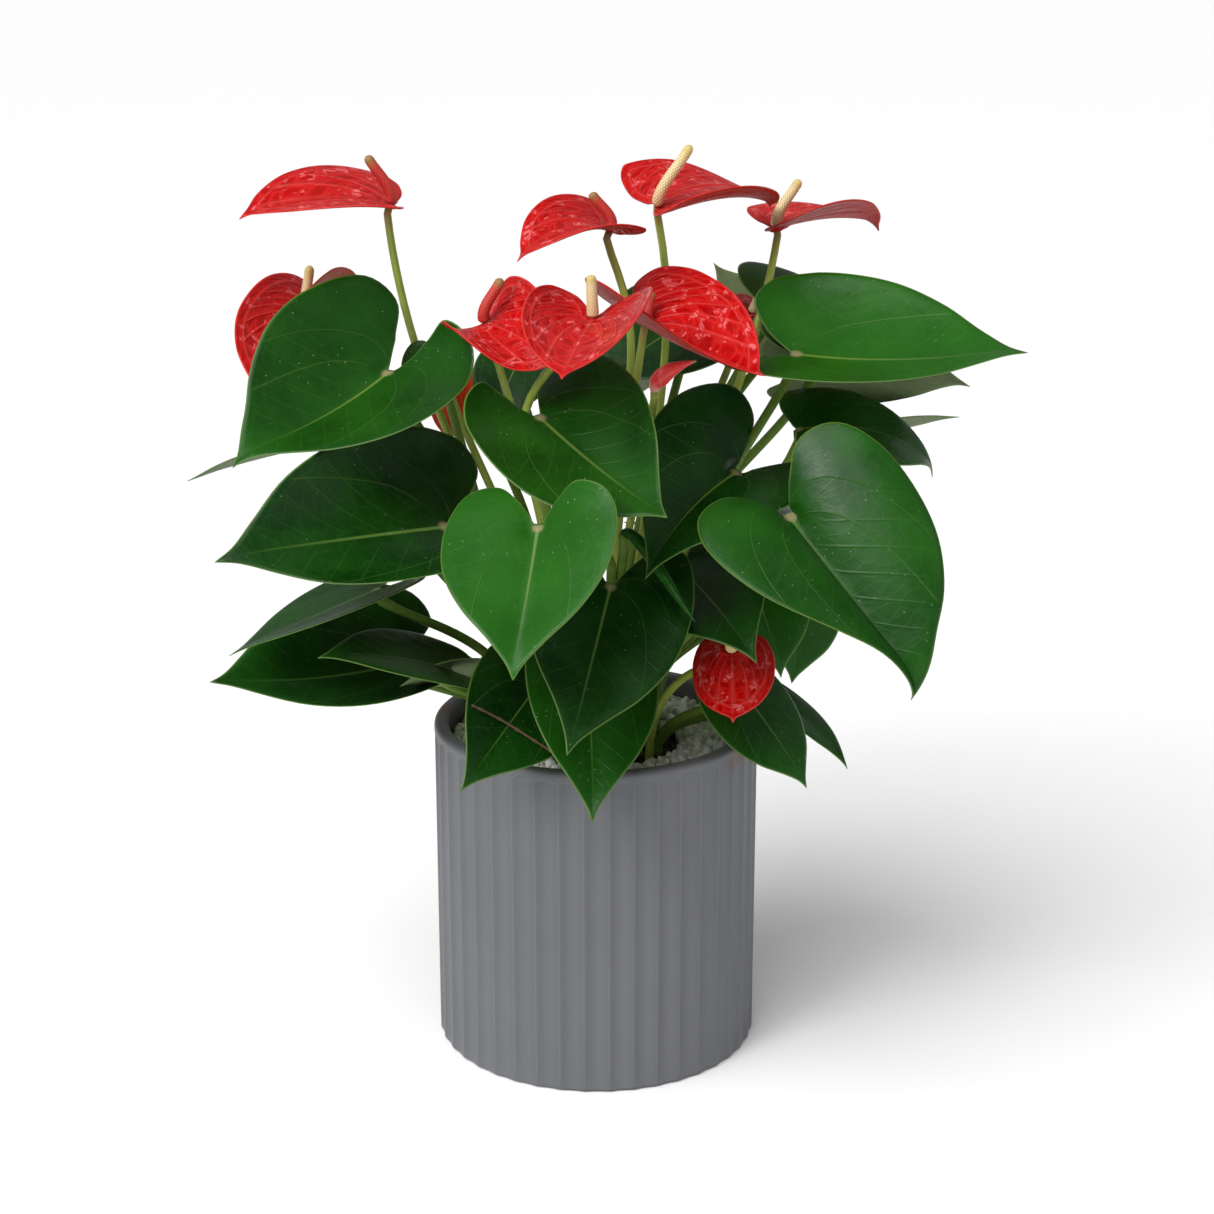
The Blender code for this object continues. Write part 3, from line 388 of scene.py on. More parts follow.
def bud_finish():
    """Rolled spathe: rose red, paler at its foot and along the lap, with a green beak."""
    bud = Finish("bud_rose", Specular_IOR_Level=0.35)
    turn, up, inner = bud.trait("flat")
    lines = bud.noise(bud.vector(turn * 9.0, up * 2.0), 2.5, 3.0)
    colour = bud.mix(lines, BUD_ROSE, BUD_LIGHT)
    colour = bud.mix(up.rise(0.25, 0.0) * 0.8, colour, BUD_FOOT)
    colour = bud.mix((1.0 - inner) * 0.6, colour, BUD_LAP)
    colour = bud.mix(up.rise(0.90, 1.0), colour, BUD_BEAK)
    bud.shade(Base_Color=colour, Roughness=0.20 + lines * 0.1)
    return bud.material


# %% [markdown]
# The pot is slip-cast ceramic with a satin slate glaze. Beside each edge where two flutes meet, the grey is
# darkened on both sides as painted shade on the steep flanks of the hollows. On the edge itself the glaze
# runs thin, which shows as a paler, warmer line. The number of the flute comes with the mesh, so these lines
# lie on the real edges all the way round. The lip has two small red-brown marks, and fine speckles break up
# the grey.


# %% Pot, chip, bark and twig finishes
POT_SLATE = (0.098, 0.102, 0.112)
POT_LIGHT = (0.140, 0.144, 0.156)
POT_ARRIS = (0.260, 0.230, 0.215)
# POT_SHADE is painted shade, laid on both sides of each arris.
POT_SHADE = (0.040, 0.042, 0.050)
POT_SPECK = (0.030, 0.032, 0.038)
POT_BROWN_MARK = (0.150, 0.045, 0.018)
BROWN_MARK_PLACES = ((0.0700, -0.0437, 0.163), (-0.0795, 0.0100, 0.169))


def pot_finish():
    """Slate glaze with cloudy depth, pale arris lines, small specks and two red-brown marks on the lip."""
    pot = Finish("pot_slate_glaze", Specular_IOR_Level=0.45)
    flute, height, fluting = pot.trait("flat")
    place = pot.place()
    cloudy = pot.noise(place, 14.0, 4.0)
    fine = pot.noise(place, 900.0, 2.0)
    arris = flute.wave().rise(0.040, 0.004) * fluting
    # Painted shade: darker grey on the steep flanks beside each arris, strongest where the flutes are deep.
    shaded = flute.wave().rise(0.40, 0.08) * fluting
    specks = pot.cells(place, 330.0).rise(0.12, 0.06) * pot.noise(place, 70.0).rise(0.50, 0.60)
    grey = pot.mix(cloudy * 0.9 + (fine - 0.5) * 0.25, POT_SLATE, POT_LIGHT)
    grey = pot.mix(shaded * 0.14, grey, POT_SHADE)
    grey = pot.mix(arris * 0.22, grey, POT_ARRIS)
    grey = pot.mix(specks * 0.35, grey, POT_SPECK)
    # Two small red-brown marks on the lip, one round each of these points.
    for spot in BROWN_MARK_PLACES:
        brown_mark = (pot.apart(place, spot) + cloudy * 0.012).rise(0.0165, 0.0100) * height.rise(0.93, 0.94)
        grey = pot.mix(brown_mark * (fine * 0.6 + 0.25), grey, POT_BROWN_MARK)
    pot.shade(Base_Color=grey, Roughness=0.42 + cloudy * 0.12 - arris * 0.08)
    pot.bump(cloudy * 0.5 + fine * 0.12 + specks * 0.3, 0.0006)
    return pot.material


CHIP_GREY = (0.460, 0.465, 0.450)
CHIP_WHITE = (0.930, 0.930, 0.905)
CHIP_WARM = (0.520, 0.460, 0.340)
CHIP_STREAK = (0.180, 0.190, 0.190)


def chip_finish():
    """Crushed marble: white to grey from chip to chip, with faint grey veins and a sugary break."""
    chip = Finish("marble_chips", Specular_IOR_Level=0.4)
    shade, warm, _ = chip.trait("flat")
    place = chip.place()
    streaks = chip.noise(place, 320.0, 4.0)
    grey = chip.mix(shade, CHIP_GREY, CHIP_WHITE)
    grey = chip.mix(warm * 0.25, grey, CHIP_WARM)
    grey = chip.mix(streaks.rise(0.55, 0.75) * 0.35, grey, CHIP_STREAK)
    chip.shade(Base_Color=grey, Roughness=0.50 + streaks * 0.25)
    chip.bump(streaks, 0.0005)
    return chip.material


BARK_DARK = (0.010, 0.007, 0.005)
BARK_BROWN = (0.060, 0.036, 0.020)
BARK_FIBRE = (0.090, 0.060, 0.036)


def bark_finish():
    """Dark potting bark and peat."""
    bark = Finish("potting_bark")
    shade, _, _ = bark.trait("flat")
    place = bark.place()
    fibres = bark.noise(place, 260.0, 4.0)
    brown = bark.mix(shade, BARK_DARK, BARK_BROWN)
    brown = bark.mix(fibres.rise(0.5, 0.8) * 0.5, brown, BARK_FIBRE)
    bark.shade(Base_Color=brown, Roughness=0.85 + fibres * 0.1)
    bark.bump(fibres, 0.0012)
    return bark.material


TWIG_DARK = (0.045, 0.024, 0.012)
TWIG_PALE = (0.170, 0.095, 0.048)


def twig_finish():
    """Dry brown twig."""
    twig = Finish("dry_twig")
    turn, down, _ = twig.trait("flat")
    lines = twig.noise(twig.vector(turn * 6.0, down * 3.0), 3.0, 4.0)
    brown = twig.mix(lines, TWIG_DARK, TWIG_PALE)
    twig.shade(Base_Color=brown, Roughness=0.80 + lines * 0.1)
    twig.bump(lines, 0.0004)
    return twig.material


leaf_green = leaf_finish()
spathe_red = spathe_finish()
stalk_green = stalk_finish()
pale_spadix = spadix_finish("pale_spadix", SPADIX_CREAM, SPADIX_PALE, SPADIX_YELLOW, SPADIX_ORANGE)
red_spadix = spadix_finish("red_spadix", SPADIX_RED, SPADIX_ROSE, SPADIX_OLIVE, SPADIX_RED)
bud_rose = bud_finish()
pot_glaze = pot_finish()
marble_chips = chip_finish()
potting_bark = bark_finish()
dry_twig = twig_finish()
print("finishes:", len(bpy.data.materials))

# %% [markdown]
# The plant's measurements. Each blade is a place for its joint and its tip, the way it faces, and a shape;
# the solids were made from the same numbers, so the fine pieces fall exactly where the solids are. The
# pot's and the stalks' sizes are the same too.

# %% Measurements of the pot and the stalks
GAP = 0.3
# Pot
POT_RADIUS = 82.5
POT_HEIGHT = 169.7
POT_WALL = 7.5
POT_FLOOR = 9.0
FLUTE_COUNT = 42
FLUTE_DEPTH = 1.5
FLUTE_TOP = 165.4
FLUTE_ARCH = 3.5
FOOT_EDGE = 1.5
LIP_ROUND = 2.6

# Soil and stone chips
SOIL_TOP = 152.0
STONE_INNER = 43.0
STONE_LOW = 156.0
STONE_HIGH = 161.5

# Stalks and the holes they stand in
HOLE_DEPTH = 8.0
STEM_FIELD = 36.0
STEM_SPACING = 9.2
STALK_STRAIGHT = 3.5
STALK_STEPS = 5
STALK_HEAD = 0.25
STALK_BOWS = (0.0, 5.0, 10.0, 16.0, 24.0, 34.0)
STALK_WAYS = ((0.35, 0.5, 1.0), (0.5, 0.5, 1.0), (0.2, 0.5, 1.0),
              (0.35, 1.5, 0.6), (0.5, 1.5, 0.6), (0.35, 0.5, 0.6))
BLADE_CLEAR = 4.3
STALK_CLEAR = 5.8
PETIOLE_RADIUS = 2.2
FLOWER_STALK_RADIUS = 1.9
CROWN_RADIUS = 3.4
CROWN_SPREAD = 0.5

# Blades
BLADE_THICK = 1.0
DISC_RADIUS = 3.4
DISC_SHARE = 0.3
KNOB_DROP = 2.0

# Spadices
SPADIX_RADIUS = 2.7
SPADIX_RINGS = 7

# %% Measurements of the blades
DEEP = 0.12
MIDDLE = 0.42
FRESH = 0.85
# Half outlines from the notch to the tip: x in half widths, y in blade lengths.
LEAF_OUTLINE = [(0.22, -0.16), (0.50, -0.28), (0.82, -0.22), (0.98, -0.02), (1.0, 0.20),
                (0.90, 0.42), (0.65, 0.63), (0.31, 0.80), (0.10, 0.91), (0.0, 1.0)]
SPATHE_OUTLINE = [(0.14, -0.18), (0.42, -0.33), (0.78, -0.28), (0.98, -0.05), (1.0, 0.20),
                  (0.91, 0.43), (0.66, 0.66), (0.32, 0.83), (0.09, 0.92), (0.0, 1.0)]
ROUTE_STEPS = [0.0, 1.5, 3.3, 5.2, 7.3, 9.0]

# A blade: where its stalk joins, its tip, which way it faces (turn and rise in degrees), and its shape.
# arch bows the midrib down, curl bends the tip, nape lowers both lobes and lobes lowers one and lifts the
# other, fold is the V along the midrib, cup lifts the margins, skew tips one side, sweep bends the tip
# sideways, and twist turns the tip end. heel shortens the lobe on the blade's left and on its right. bow
# pushes the stalk sideways, and a way sets its whole course: see stalk_curve.
Shape = namedtuple("Shape", "width arch curl nape lobes fold cup skew sweep twist heel",
                   defaults=(0.45, 0.30, 0.35, 0.0, 0.0, 0.20, -0.20, 0.0, 0.0, 0.0, (1.0, 1.0)))
Blade = namedtuple("Blade", "base tip face shape bow way", defaults=((0, 0), None))
Leaf = namedtuple("Leaf", "name tone blades")
Bloom = namedtuple("Bloom", "name blade spadix pale")

# Leaves that grow from one crown are one piece and share a foot.
LEAVES = [
    Leaf("leaf_left_top", MIDDLE, [
        Blade((-100, -20, 352), (-168, -76, 319), (-45, 67),
              Shape(width=0.59, arch=-0.34, curl=0.76, nape=0.46, lobes=-0.75, fold=0.37, cup=0.21,
                    skew=-0.46, sweep=0.08, heel=(1.25, 1.03)))]),
    Leaf("leaf_left_middle", DEEP, [
        Blade((-72, -52, 284), (-172, -118, 286), (-8, 48),
              Shape(width=0.43, arch=0.3, curl=0.3, nape=0.1, lobes=0.2, fold=0.1, cup=0.9, sweep=0.1,
                    twist=0.2, heel=(0.7, 1.0)))]),
    Leaf("leaf_centre_upper", MIDDLE, [
        Blade((-26, -55, 338), (32, -131, 310), (20, 60),
              Shape(width=0.44, arch=-0.2, curl=0.0, nape=0.3, lobes=0.7, fold=0.15, cup=0.5, skew=0.18,
                    twist=-0.5))]),
    Leaf("leaf_centre_front", FRESH, [
        Blade((-26, -119, 302), (-36, -177, 250), (-18, 44),
              Shape(width=0.53, arch=0.0, curl=0.37, nape=0.2, lobes=-0.4, fold=0.4, cup=-0.3, skew=0.07,
                    sweep=0.03, twist=0.2))]),
    Leaf("leaf_centre_low", DEEP, [
        Blade((7, -68, 259), (-13, -145, 203), (10, 38),
              Shape(width=0.42, arch=0.03, curl=0.4, fold=0.37, cup=-0.3, skew=0.05, twist=0.25,
                    heel=(1.0, 0.5)))]),
    Leaf("leaf_left_rim", DEEP, [
        Blade((-30, -55, 203), (-63, -120, 176), (14, 33),
              Shape(width=0.39, arch=0.33, curl=0.5, fold=0.38, cup=-0.3, skew=-0.05))]),
    Leaf("leaf_front_rim", MIDDLE, [
        Blade((-4, -52, 211), (-2, -124, 161), (12, 42),
              Shape(width=0.38, arch=0.27, curl=0.45, fold=0.42, cup=-0.25, heel=(0.8, 1.0)))]),
    Leaf("leaf_right_big", MIDDLE, [
        Blade((90, -82, 297), (144, -121, 221), (25, 69),
              Shape(width=0.53, arch=0.18, curl=1.6, nape=-0.4, lobes=-0.13, fold=0.89, cup=-1.0,
                    skew=0.41, sweep=-0.12, twist=0.44, heel=(0.7, 0.6)))]),
    Leaf("leaf_right_top", FRESH, [
        Blade((97, -10, 359), (206, -29, 364), (5, 75),
              Shape(width=0.50, arch=-0.3, curl=0.3, nape=0.3, lobes=-0.25, fold=0.18, cup=0.3, skew=0.07,
                    sweep=-0.07))]),
    Leaf("leaf_right_inner", DEEP, [
        Blade((68, -26, 304), (23, -92, 270), (3, 55),
              Shape(width=0.54, arch=0.33, curl=0.4, nape=-0.1, lobes=-0.3, fold=0.7, cup=-0.3,
                    skew=-0.22, sweep=-0.15, twist=-0.2))]),
    Leaf("leaf_right_low", DEEP, [
        Blade((44, -32, 255), (75, -98, 231), (-2, 42), Shape(width=0.41, curl=0.6, fold=0.31, cup=-0.35))]),
    Leaf("leaf_right_upper", MIDDLE, [
        Blade((99, -8, 321), (168, 8, 293), (15, 75),
              Shape(width=0.44, arch=1.05, curl=0.7, nape=-0.15, fold=0.15, cup=-0.25, skew=0.05, twist=-0.1,
                    heel=(0.2, 0.2))),
        Blade((128, 52, 304), (185, 40, 317), (180, 70), Shape(width=0.42, arch=-0.3))]),
    Leaf("leaf_right_rim", MIDDLE, [
        Blade((72, -45, 198), (102, -69, 157), (26, 58),
              Shape(width=0.45, arch=0.2, curl=0.25, fold=0.02, cup=-0.3)),
        Blade((88, -6, 184), (125, -38, 155), (60, 50), Shape(width=0.26))]),
    Leaf("leaf_left_low", DEEP, [
        Blade((-99, -10, 201), (-186, -63, 210), (-20, 58),
              Shape(width=0.46, arch=-0.3, curl=0.25, lobes=-0.2, fold=0.38, cup=0.2, sweep=0.07,
                    twist=0.3)),
        Blade((-106, -42, 250), (-176, -64, 224), (-80, 50),
              Shape(width=0.45, arch=0.0, curl=0.1, fold=0.1, cup=0.05)),
        Blade((-72, -55, 214), (-131, -84, 229), (-25, 75),
              Shape(width=0.44, arch=0.3, curl=0.3, fold=0.16, cup=-0.1)),
        Blade((-59, -42, 206), (-95, -60, 207), (170, 40), Shape(width=0.40, arch=0.2))]),
    Leaf("leaf_right_low_back", FRESH, [
        Blade((77, -3, 243), (91, -38, 203), (25, 35), Shape(width=0.50)),
        Blade((98, 10, 236), (98, -20, 194), (35, 30), Shape(width=0.55))]),
    Leaf("leaf_right_top_back", MIDDLE, [
        Blade((88, 37, 370), (156, 72, 337), (15, 65), Shape(width=0.50, heel=(0.5, 0.6))),
        Blade((108, 36, 340), (186, 16, 337), (170, 40), Shape(width=0.38))]),
    Leaf("leaf_left_top_back", MIDDLE, [
        Blade((-134, 12, 310), (-201, -8, 296), (180, 72), Shape(width=0.40, arch=0.1, curl=0.1)),
        Blade((-77, 5, 354), (-82, -14, 330), (-5, 50), Shape(width=0.55))]),
    Leaf("leaf_middle_back", DEEP, [
        Blade((49, 64, 362), (0, 34, 332), (0, 60), Shape(width=0.55)),
        Blade((-40, 34, 344), (-52, 8, 318), (0, 45), Shape(width=0.50)),
        Blade((10, 75, 335), (20, 140, 300), (180, 55), Shape())]),
    Leaf("leaf_back_left", DEEP, [
        Blade((-85, 45, 270), (-150, 80, 240), (220, 60), Shape()),
        Blade((-30, 65, 250), (-60, 132, 212), (195, 50), Shape()),
        Blade((-60, 76, 322), (-105, 128, 295), (205, 60), Shape())]),
    Leaf("leaf_back_right", DEEP, [
        Blade((50, 65, 250), (80, 132, 215), (165, 50), Shape()),
        Blade((95, 50, 262), (150, 90, 236), (130, 60), Shape()),
        Blade((99, 93, 343), (62, 103, 385), (240, 40), Shape(width=0.35, heel=(0.4, 0.4)))]),
]

BLOOMS = [
    Bloom("left_top", Blade((-99, 5, 429), (-170, -6, 424), (-70, 60),
                            Shape(width=0.45, arch=0.6, curl=0.4, nape=0.9, fold=0.25, cup=-0.1, twist=0.25,
                                  heel=(0.2, 0.3)), (-11, 18), (0.4, 1.0, 1.0)),
          (-109, 3, 453), False),
    Bloom("left_back", Blade((-143, 35, 365), (-158, -38, 344), (-55, 60),
                             Shape(width=0.43, arch=0.0, curl=0.3, nape=-0.55, fold=0.75, cup=0.4, skew=-0.13,
                                   sweep=-0.1, twist=-0.2)),
          (-142, 35, 395), True),
    Bloom("middle_top", Blade((7, 5, 417), (-37, -27, 407), (-33, 60),
                              Shape(width=0.45, arch=1.0, curl=0.2, nape=0.3, fold=0.15, cup=0.4, sweep=-0.05,
                                    heel=(0.3, 0.3)), (20, -6), (0.5, 1.0, 0.6)),
          (-2, 5, 435), False),
    Bloom("right_top", Blade((30, 10, 428), (88, 55, 421), (12, 57),
                             Shape(width=0.50, arch=0.8, curl=0.45, nape=-0.15, lobes=0.45, fold=0.05,
                                   cup=0.55, skew=-0.45, sweep=-0.07, twist=0.1, heel=(0.3, 0.35)),
                             (10, 10), (0.2, 0.6, 0.6)),
          (46, 10, 457), True),
    Bloom("far_right", Blade((91, 52, 411), (146, 81, 405), (18, 80),
                             Shape(width=0.49, arch=0.55, curl=0.8, nape=0.05, lobes=0.2, fold=0.33,
                                   cup=-0.1, skew=-0.25, sweep=-0.05, twist=0.2, heel=(0.2, 0.6))),
          (102, 52, 435), True),
    Bloom("left_inner", Blade((-52, -38, 380), (-18, -77, 368), (-64, 66),
                              Shape(width=0.52, arch=0.38, curl=-0.26, nape=-0.4, lobes=0.13, fold=-0.1,
                                    cup=1.29, skew=-0.04, sweep=0.09, twist=-0.6, heel=(0.64, 0.23))),
          (-44, -38, 401), False),
    Bloom("centre", Blade((-1, -64, 387), (-15, -124, 371), (-15, 50),
                          Shape(width=0.50, arch=0.07, curl=0.2, fold=0.06, cup=0.77)),
          (-2, -64, 407), True),
    Bloom("right_inner", Blade((24, -15, 376), (78, -72, 362), (39, 61),
                               Shape(width=0.46, arch=-0.19, curl=0.0, fold=0.37, cup=0.65, sweep=-0.05,
                                     twist=-0.14)),
          (27, -12, 390), False),
    Bloom("low", Blade((65, -67, 227), (64, -102, 203), (-8, 30),
                       Shape(width=0.50, arch=0.0, curl=0.0, nape=-0.15, fold=-0.33, cup=-0.1)),
          (63, -83, 235), True),
    Bloom("back_right", Blade((80, 64, 365), (99, 88, 351), (40, 70),
                              Shape(width=0.42, fold=0.3, cup=0.2, heel=(0.6, 0.6))),
          (86, 70, 379), True),
    Bloom("back_left", Blade((-74, 38, 336), (-74, 26, 307), (165, 15), Shape(width=0.42, fold=0.2, cup=0.1)),
          (-70, 60, 338), True),
]

# A closed bud stands in front of the middle, and a rolled new leaf hangs beside it.
BUD_BASE = (28, -30, 345)
BUD_TIP = (48, -30, 360)
NEW_LEAF_TOP = (13, -64, 284)
NEW_LEAF_TIP = (46, -97, 251)
print("leaves:", len(LEAVES), "blooms:", len(BLOOMS))

# %% [markdown]
# Some short helpers bend flat blades into shape. They are the same sums that made the solids, so a fine leaf
# lies on its solid leaf, and further down a fine stalk runs through the same corners as its solid one.


# %% Vectors and curves
def unit(vector):
    """The vector, or each row of them, scaled to length one."""
    vector = np.asarray(vector, float)
    return vector / np.linalg.norm(vector, axis=-1, keepdims=True)


def facing(turn, rise):
    """Unit vector for a turn from the front towards +X and a rise above level, in degrees."""
    a, e = math.radians(turn), math.radians(rise)
    return np.array([math.sin(a) * math.cos(e), -math.cos(a) * math.cos(e), math.sin(e)])


def smooth_curve(points, where):
    """Curve through the points, in cubic pieces; where counts points, with fractions for places between.

    The slope at a point is half the step from the point before it to the point after it.
    """
    points = np.asarray(points, float)
    padded = np.vstack([2 * points[0] - points[1], points, 2 * points[-1] - points[-2]])
    last = len(points) - 1
    start = np.minimum(np.asarray(where, float).astype(int), last - 1)
    f = (np.asarray(where, float) - start)[:, None]
    a, b, c, d = padded[start], padded[start + 1], padded[start + 2], padded[start + 3]
    square, cube = 2 * a - 5 * b + 4 * c - d, 3 * b - 3 * c + d - a
    return 0.5 * (2 * b + (c - a) * f + square * f ** 2 + cube * f ** 3)


def bezier(points, count):
    """Points along a cubic curve: its four corners, weighted with powers of t and of 1 - t."""
    t = np.linspace(0, 1, count)[:, None]
    a, b, c, d = (np.asarray(point, float) for point in points)
    return (1 - t) ** 3 * a + 3 * (1 - t) ** 2 * t * b + 3 * (1 - t) * t ** 2 * c + t ** 3 * d


print("coarse points on half a leaf outline:", len(smooth_curve(LEAF_OUTLINE, ROUTE_STEPS)))

# %% Shape of a blade
CREASE = 0.05
CURL_START = 0.72
LOBE_REACH = 0.3
RIB_SAMPLES = 201
HALF_SAMPLES = 13


def flat_margin(outline, steps):
    """Whole flat margin from the left notch round the tip to the right notch."""
    side = smooth_curve(outline, steps)
    side[-1] = (0.0, 1.0)
    left = side * (-1, 1)
    return np.vstack([left, side[-2::-1]])


def heeled(flat, shape):
    """Flat points whose part behind the joint is shortened by the heel of its side."""
    x, y = flat[..., 0], flat[..., 1]
    heel = np.where(x < 0, shape.heel[0], shape.heel[1])
    return np.stack([x, np.where(y < 0, y * heel, y)], -1)


def bent(flat, shape):
    """Bends flat blade points, in blade lengths, into the blade's form round its level joint.

    The midrib's pitch, added up along it, gives its curve. Across it, the slope of each half starts at the
    fold and grows by the cup; its mean up to a point gives the point's height. The tip is then twisted and
    swept sideways.
    """
    flat = heeled(flat, shape)
    side, across, y = np.sign(flat[..., 0]), np.abs(flat[..., 0]), flat[..., 1]
    along = np.linspace(-0.5, 1.0, RIB_SAMPLES)
    step = along[1] - along[0]
    tip_part = np.clip((along - CURL_START) / (1 - CURL_START), 0, 1)
    droop = shape.arch * np.clip(along, 0, 1) + shape.curl * tip_part ** 2
    rib_y, rib_z, pitch = np.zeros_like(y), np.zeros_like(y), np.zeros_like(y)
    for half in (-1, 1):
        dip = np.where(along < 0, (shape.nape + half * shape.lobes) * -along / LOBE_REACH, droop)
        path_y = np.concatenate([[0], np.cumsum(np.cos((dip[1:] + dip[:-1]) / 2)) * step])
        path_z = np.concatenate([[0], np.cumsum(-np.sin((dip[1:] + dip[:-1]) / 2)) * step])
        here = side < 0 if half < 0 else side >= 0
        rib_y = np.where(here, np.interp(y, along, path_y - np.interp(0, along, path_y)), rib_y)
        rib_z = np.where(here, np.interp(y, along, path_z - np.interp(0, along, path_z)), rib_z)
        pitch = np.where(here, np.interp(y, along, dip), pitch)
    first = shape.fold - side * shape.skew
    outwards = np.linspace(0, 1, HALF_SAMPLES).reshape((HALF_SAMPLES,) + (1,) * y.ndim)
    angles = first + shape.cup * across * outwards
    mean_cos = (np.cos(angles[1:]) + np.cos(angles[:-1])).mean(0) / 2
    mean_sin = (np.sin(angles[1:]) + np.sin(angles[:-1])).mean(0) / 2
    gentle = (np.sqrt(across ** 2 + CREASE ** 2) - CREASE) / (math.hypot(1, CREASE) - CREASE)
    out = side * mean_cos * across * shape.width
    rise = mean_sin * gentle * shape.width
    turn = shape.twist * np.clip(y, -0.4, 1)
    turned_x = out * np.cos(turn) - rise * np.sin(turn)
    turned_z = out * np.sin(turn) + rise * np.cos(turn)
    return np.stack([turned_x + shape.sweep * np.clip(y, 0, 1) ** 2,
                     rib_y + turned_z * np.sin(pitch),
                     rib_z + turned_z * np.cos(pitch)], -1)


def blade_frame(blade):
    """Rotation (columns are the blade's own axes in the world) and length that put the tip in place."""
    tip = bent(np.array([0.0, 1.0]), blade.shape)
    chord = np.subtract(blade.tip, blade.base).astype(float)
    own_y = unit(tip)
    own_z = unit(np.array([0, 0, 1.0]) - own_y * own_y[2])
    own = np.stack([np.cross(own_y, own_z), own_y, own_z])
    world_y = unit(chord)
    face = facing(*blade.face)
    world_z = unit(face - world_y * (face @ world_y))
    world = np.stack([np.cross(world_y, world_z), world_y, world_z])
    return world.T @ own, np.linalg.norm(chord) / np.linalg.norm(tip)


def surface_normals(grid):
    """Normals of a fan of rings: the cross product of the steps along a ring and out to the next one."""
    outward = np.gradient(grid, axis=0)
    onward = np.gradient(grid, axis=1)
    return unit(np.cross(onward, outward))


first_blade = LEAVES[0].blades[0]
print("first blade:", round(blade_frame(first_blade)[1]), "mm from joint to tip when flat")

# %% [markdown]
# A real stalk grows towards the light and bends round whatever stands in its way. Here each one is a cubic
# curve from its joint to its foot in the soil. Straight stalks would run through other leaves, and bending
# all of them by hand would take a day, so only a few have their way set. The others try gentle bows first
# and stronger ones later, and keep the first that clears every blade, spadix and stalk.


# %% Course of a stalk
SAMPLES = 10


def blade_grid(blade, outline, steps):
    """Coarse middle surface in the world: the disc at the joint, halfway out, and the margin."""
    frame, length = blade_frame(blade)
    margin = flat_margin(outline, steps)
    reach = heeled(margin, blade.shape) * (blade.shape.width, 1)
    angles = np.arctan2(reach[:, 0], reach[:, 1])
    radius = np.minimum(DISC_RADIUS, DISC_SHARE * length * np.linalg.norm(reach, axis=-1))
    disc = radius[:, None] * np.stack([np.sin(angles), np.cos(angles), np.zeros_like(angles)], -1)
    outer = [bent(margin * part, blade.shape) * length for part in (0.5, 1.0)]
    return np.stack([disc] + outer) @ frame.T + np.asarray(blade.base, float)


def stalk_curve(top, down, foot, way, bow, steps=STALK_STEPS):
    """From under a joint to the foot: straight at both ends, with a sideways bow in between."""
    stiff, lean, crest = way
    start = top + down * STALK_STRAIGHT
    collar = np.array([foot[0], foot[1], SOIL_TOP + STALK_STRAIGHT])
    reach = np.linalg.norm(start - collar)
    low_control = collar + (0, 0, reach * stiff)
    heading = unit(lean * down + unit(low_control - start))
    curve = bezier((start, start + heading * reach * STALK_HEAD, low_control, collar), steps)
    swell = np.sin(math.pi * np.linspace(0, 1, steps) ** crest) ** 2
    curve[:, :2] += swell[:, None] * bow
    return np.vstack([top, curve, [foot[0], foot[1], SOIL_TOP - HOLE_DEPTH + GAP]])


def sampled(path):
    """The path's corners with evenly spaced points between them."""
    part = np.linspace(0, 1, SAMPLES, endpoint=False)[:, None]
    pieces = [first + (second - first) * part for first, second in zip(path, path[1:])]
    return np.vstack(pieces + [path[-1:]])


print("first blade's middle surface:", blade_grid(first_blade, LEAF_OUTLINE, ROUTE_STEPS).shape)

# %% Room round a stalk
CHIPS_CLEAR = 3.2
POT_CLEAR = 4.0
OWN_BLADE_FROM = 12.0
SEARCH_REACH = 60.0
BOW_TURNS = 8


def tree_of(sheets):
    """Search tree over the middle surfaces of some blades, each square of points cut into two triangles."""
    points, faces = [], []
    for sheet in sheets:
        number = np.arange(sheet[..., 0].size).reshape(sheet.shape[:2]) + len(points)
        a, b, c, d = number[:-1, :-1], number[:-1, 1:], number[1:, 1:], number[1:, :-1]
        points.extend(sheet.reshape(-1, 3))
        faces.extend(np.stack([a, b, c, a, c, d], -1).reshape(-1, 3).tolist())
    return BVHTree.FromPolygons(points, faces)


def tree_of_points(points):
    """Search tree over single points."""
    tree = KDTree(len(points))
    for number, point in enumerate(points):
        tree.insert(point, number)
    tree.balance()
    return tree


def room_round(path, tree, own_tree, stalks, enough):
    """Smallest spare room along a path: to chips, pot, other stalks and blades; stops once under enough."""
    points = sampled(path)
    low = points[points[:, 2] < STONE_HIGH + 1]
    rim = points[points[:, 2] < POT_HEIGHT + 3]
    room = min(STONE_INNER - CHIPS_CLEAR - np.hypot(low[:, 0], low[:, 1]).max(),
               POT_RADIUS - POT_WALL - POT_CLEAR - np.hypot(rim[:, 0], rim[:, 1]).max())
    away = np.linalg.norm(points - path[0], axis=1) > OWN_BLADE_FROM
    # Points far apart are tried first, so that a blocked way is given up early.
    scattered = np.argsort(np.arange(len(points)) * 7 % 11, kind="stable")
    for number in scattered:
        if room <= enough:
            break
        point = points[number]
        room = min(room, stalks.find(point)[2] - STALK_CLEAR)
        for search in (tree, own_tree) if away[number] else (tree,):
            distance = search.find_nearest(point, SEARCH_REACH)[3]
            if distance is not None:
                room = min(room, distance - BLADE_CLEAR)
    return room


def grown(top, down, foot, habit, tree, own_tree, stalks):
    """The gentlest stalk that clears everything, or else the one with the most room."""
    best, best_room = None, -1e9
    for bow in STALK_BOWS:
        for turn in range(1 if bow == 0 else BOW_TURNS):
            heading = turn * 2 * math.pi / BOW_TURNS
            side = np.add(habit, (bow * math.sin(heading), bow * math.cos(heading)))
            for way in STALK_WAYS:
                path = stalk_curve(top, down, foot, way, side)
                room = room_round(path, tree, own_tree, stalks, best_room)
                if room > best_room:
                    best, best_room = (way, side), room
                if room > 0:
                    return best
    return best


print("ways to try for each stalk:", (1 + BOW_TURNS * (len(STALK_BOWS) - 1)) * len(STALK_WAYS))

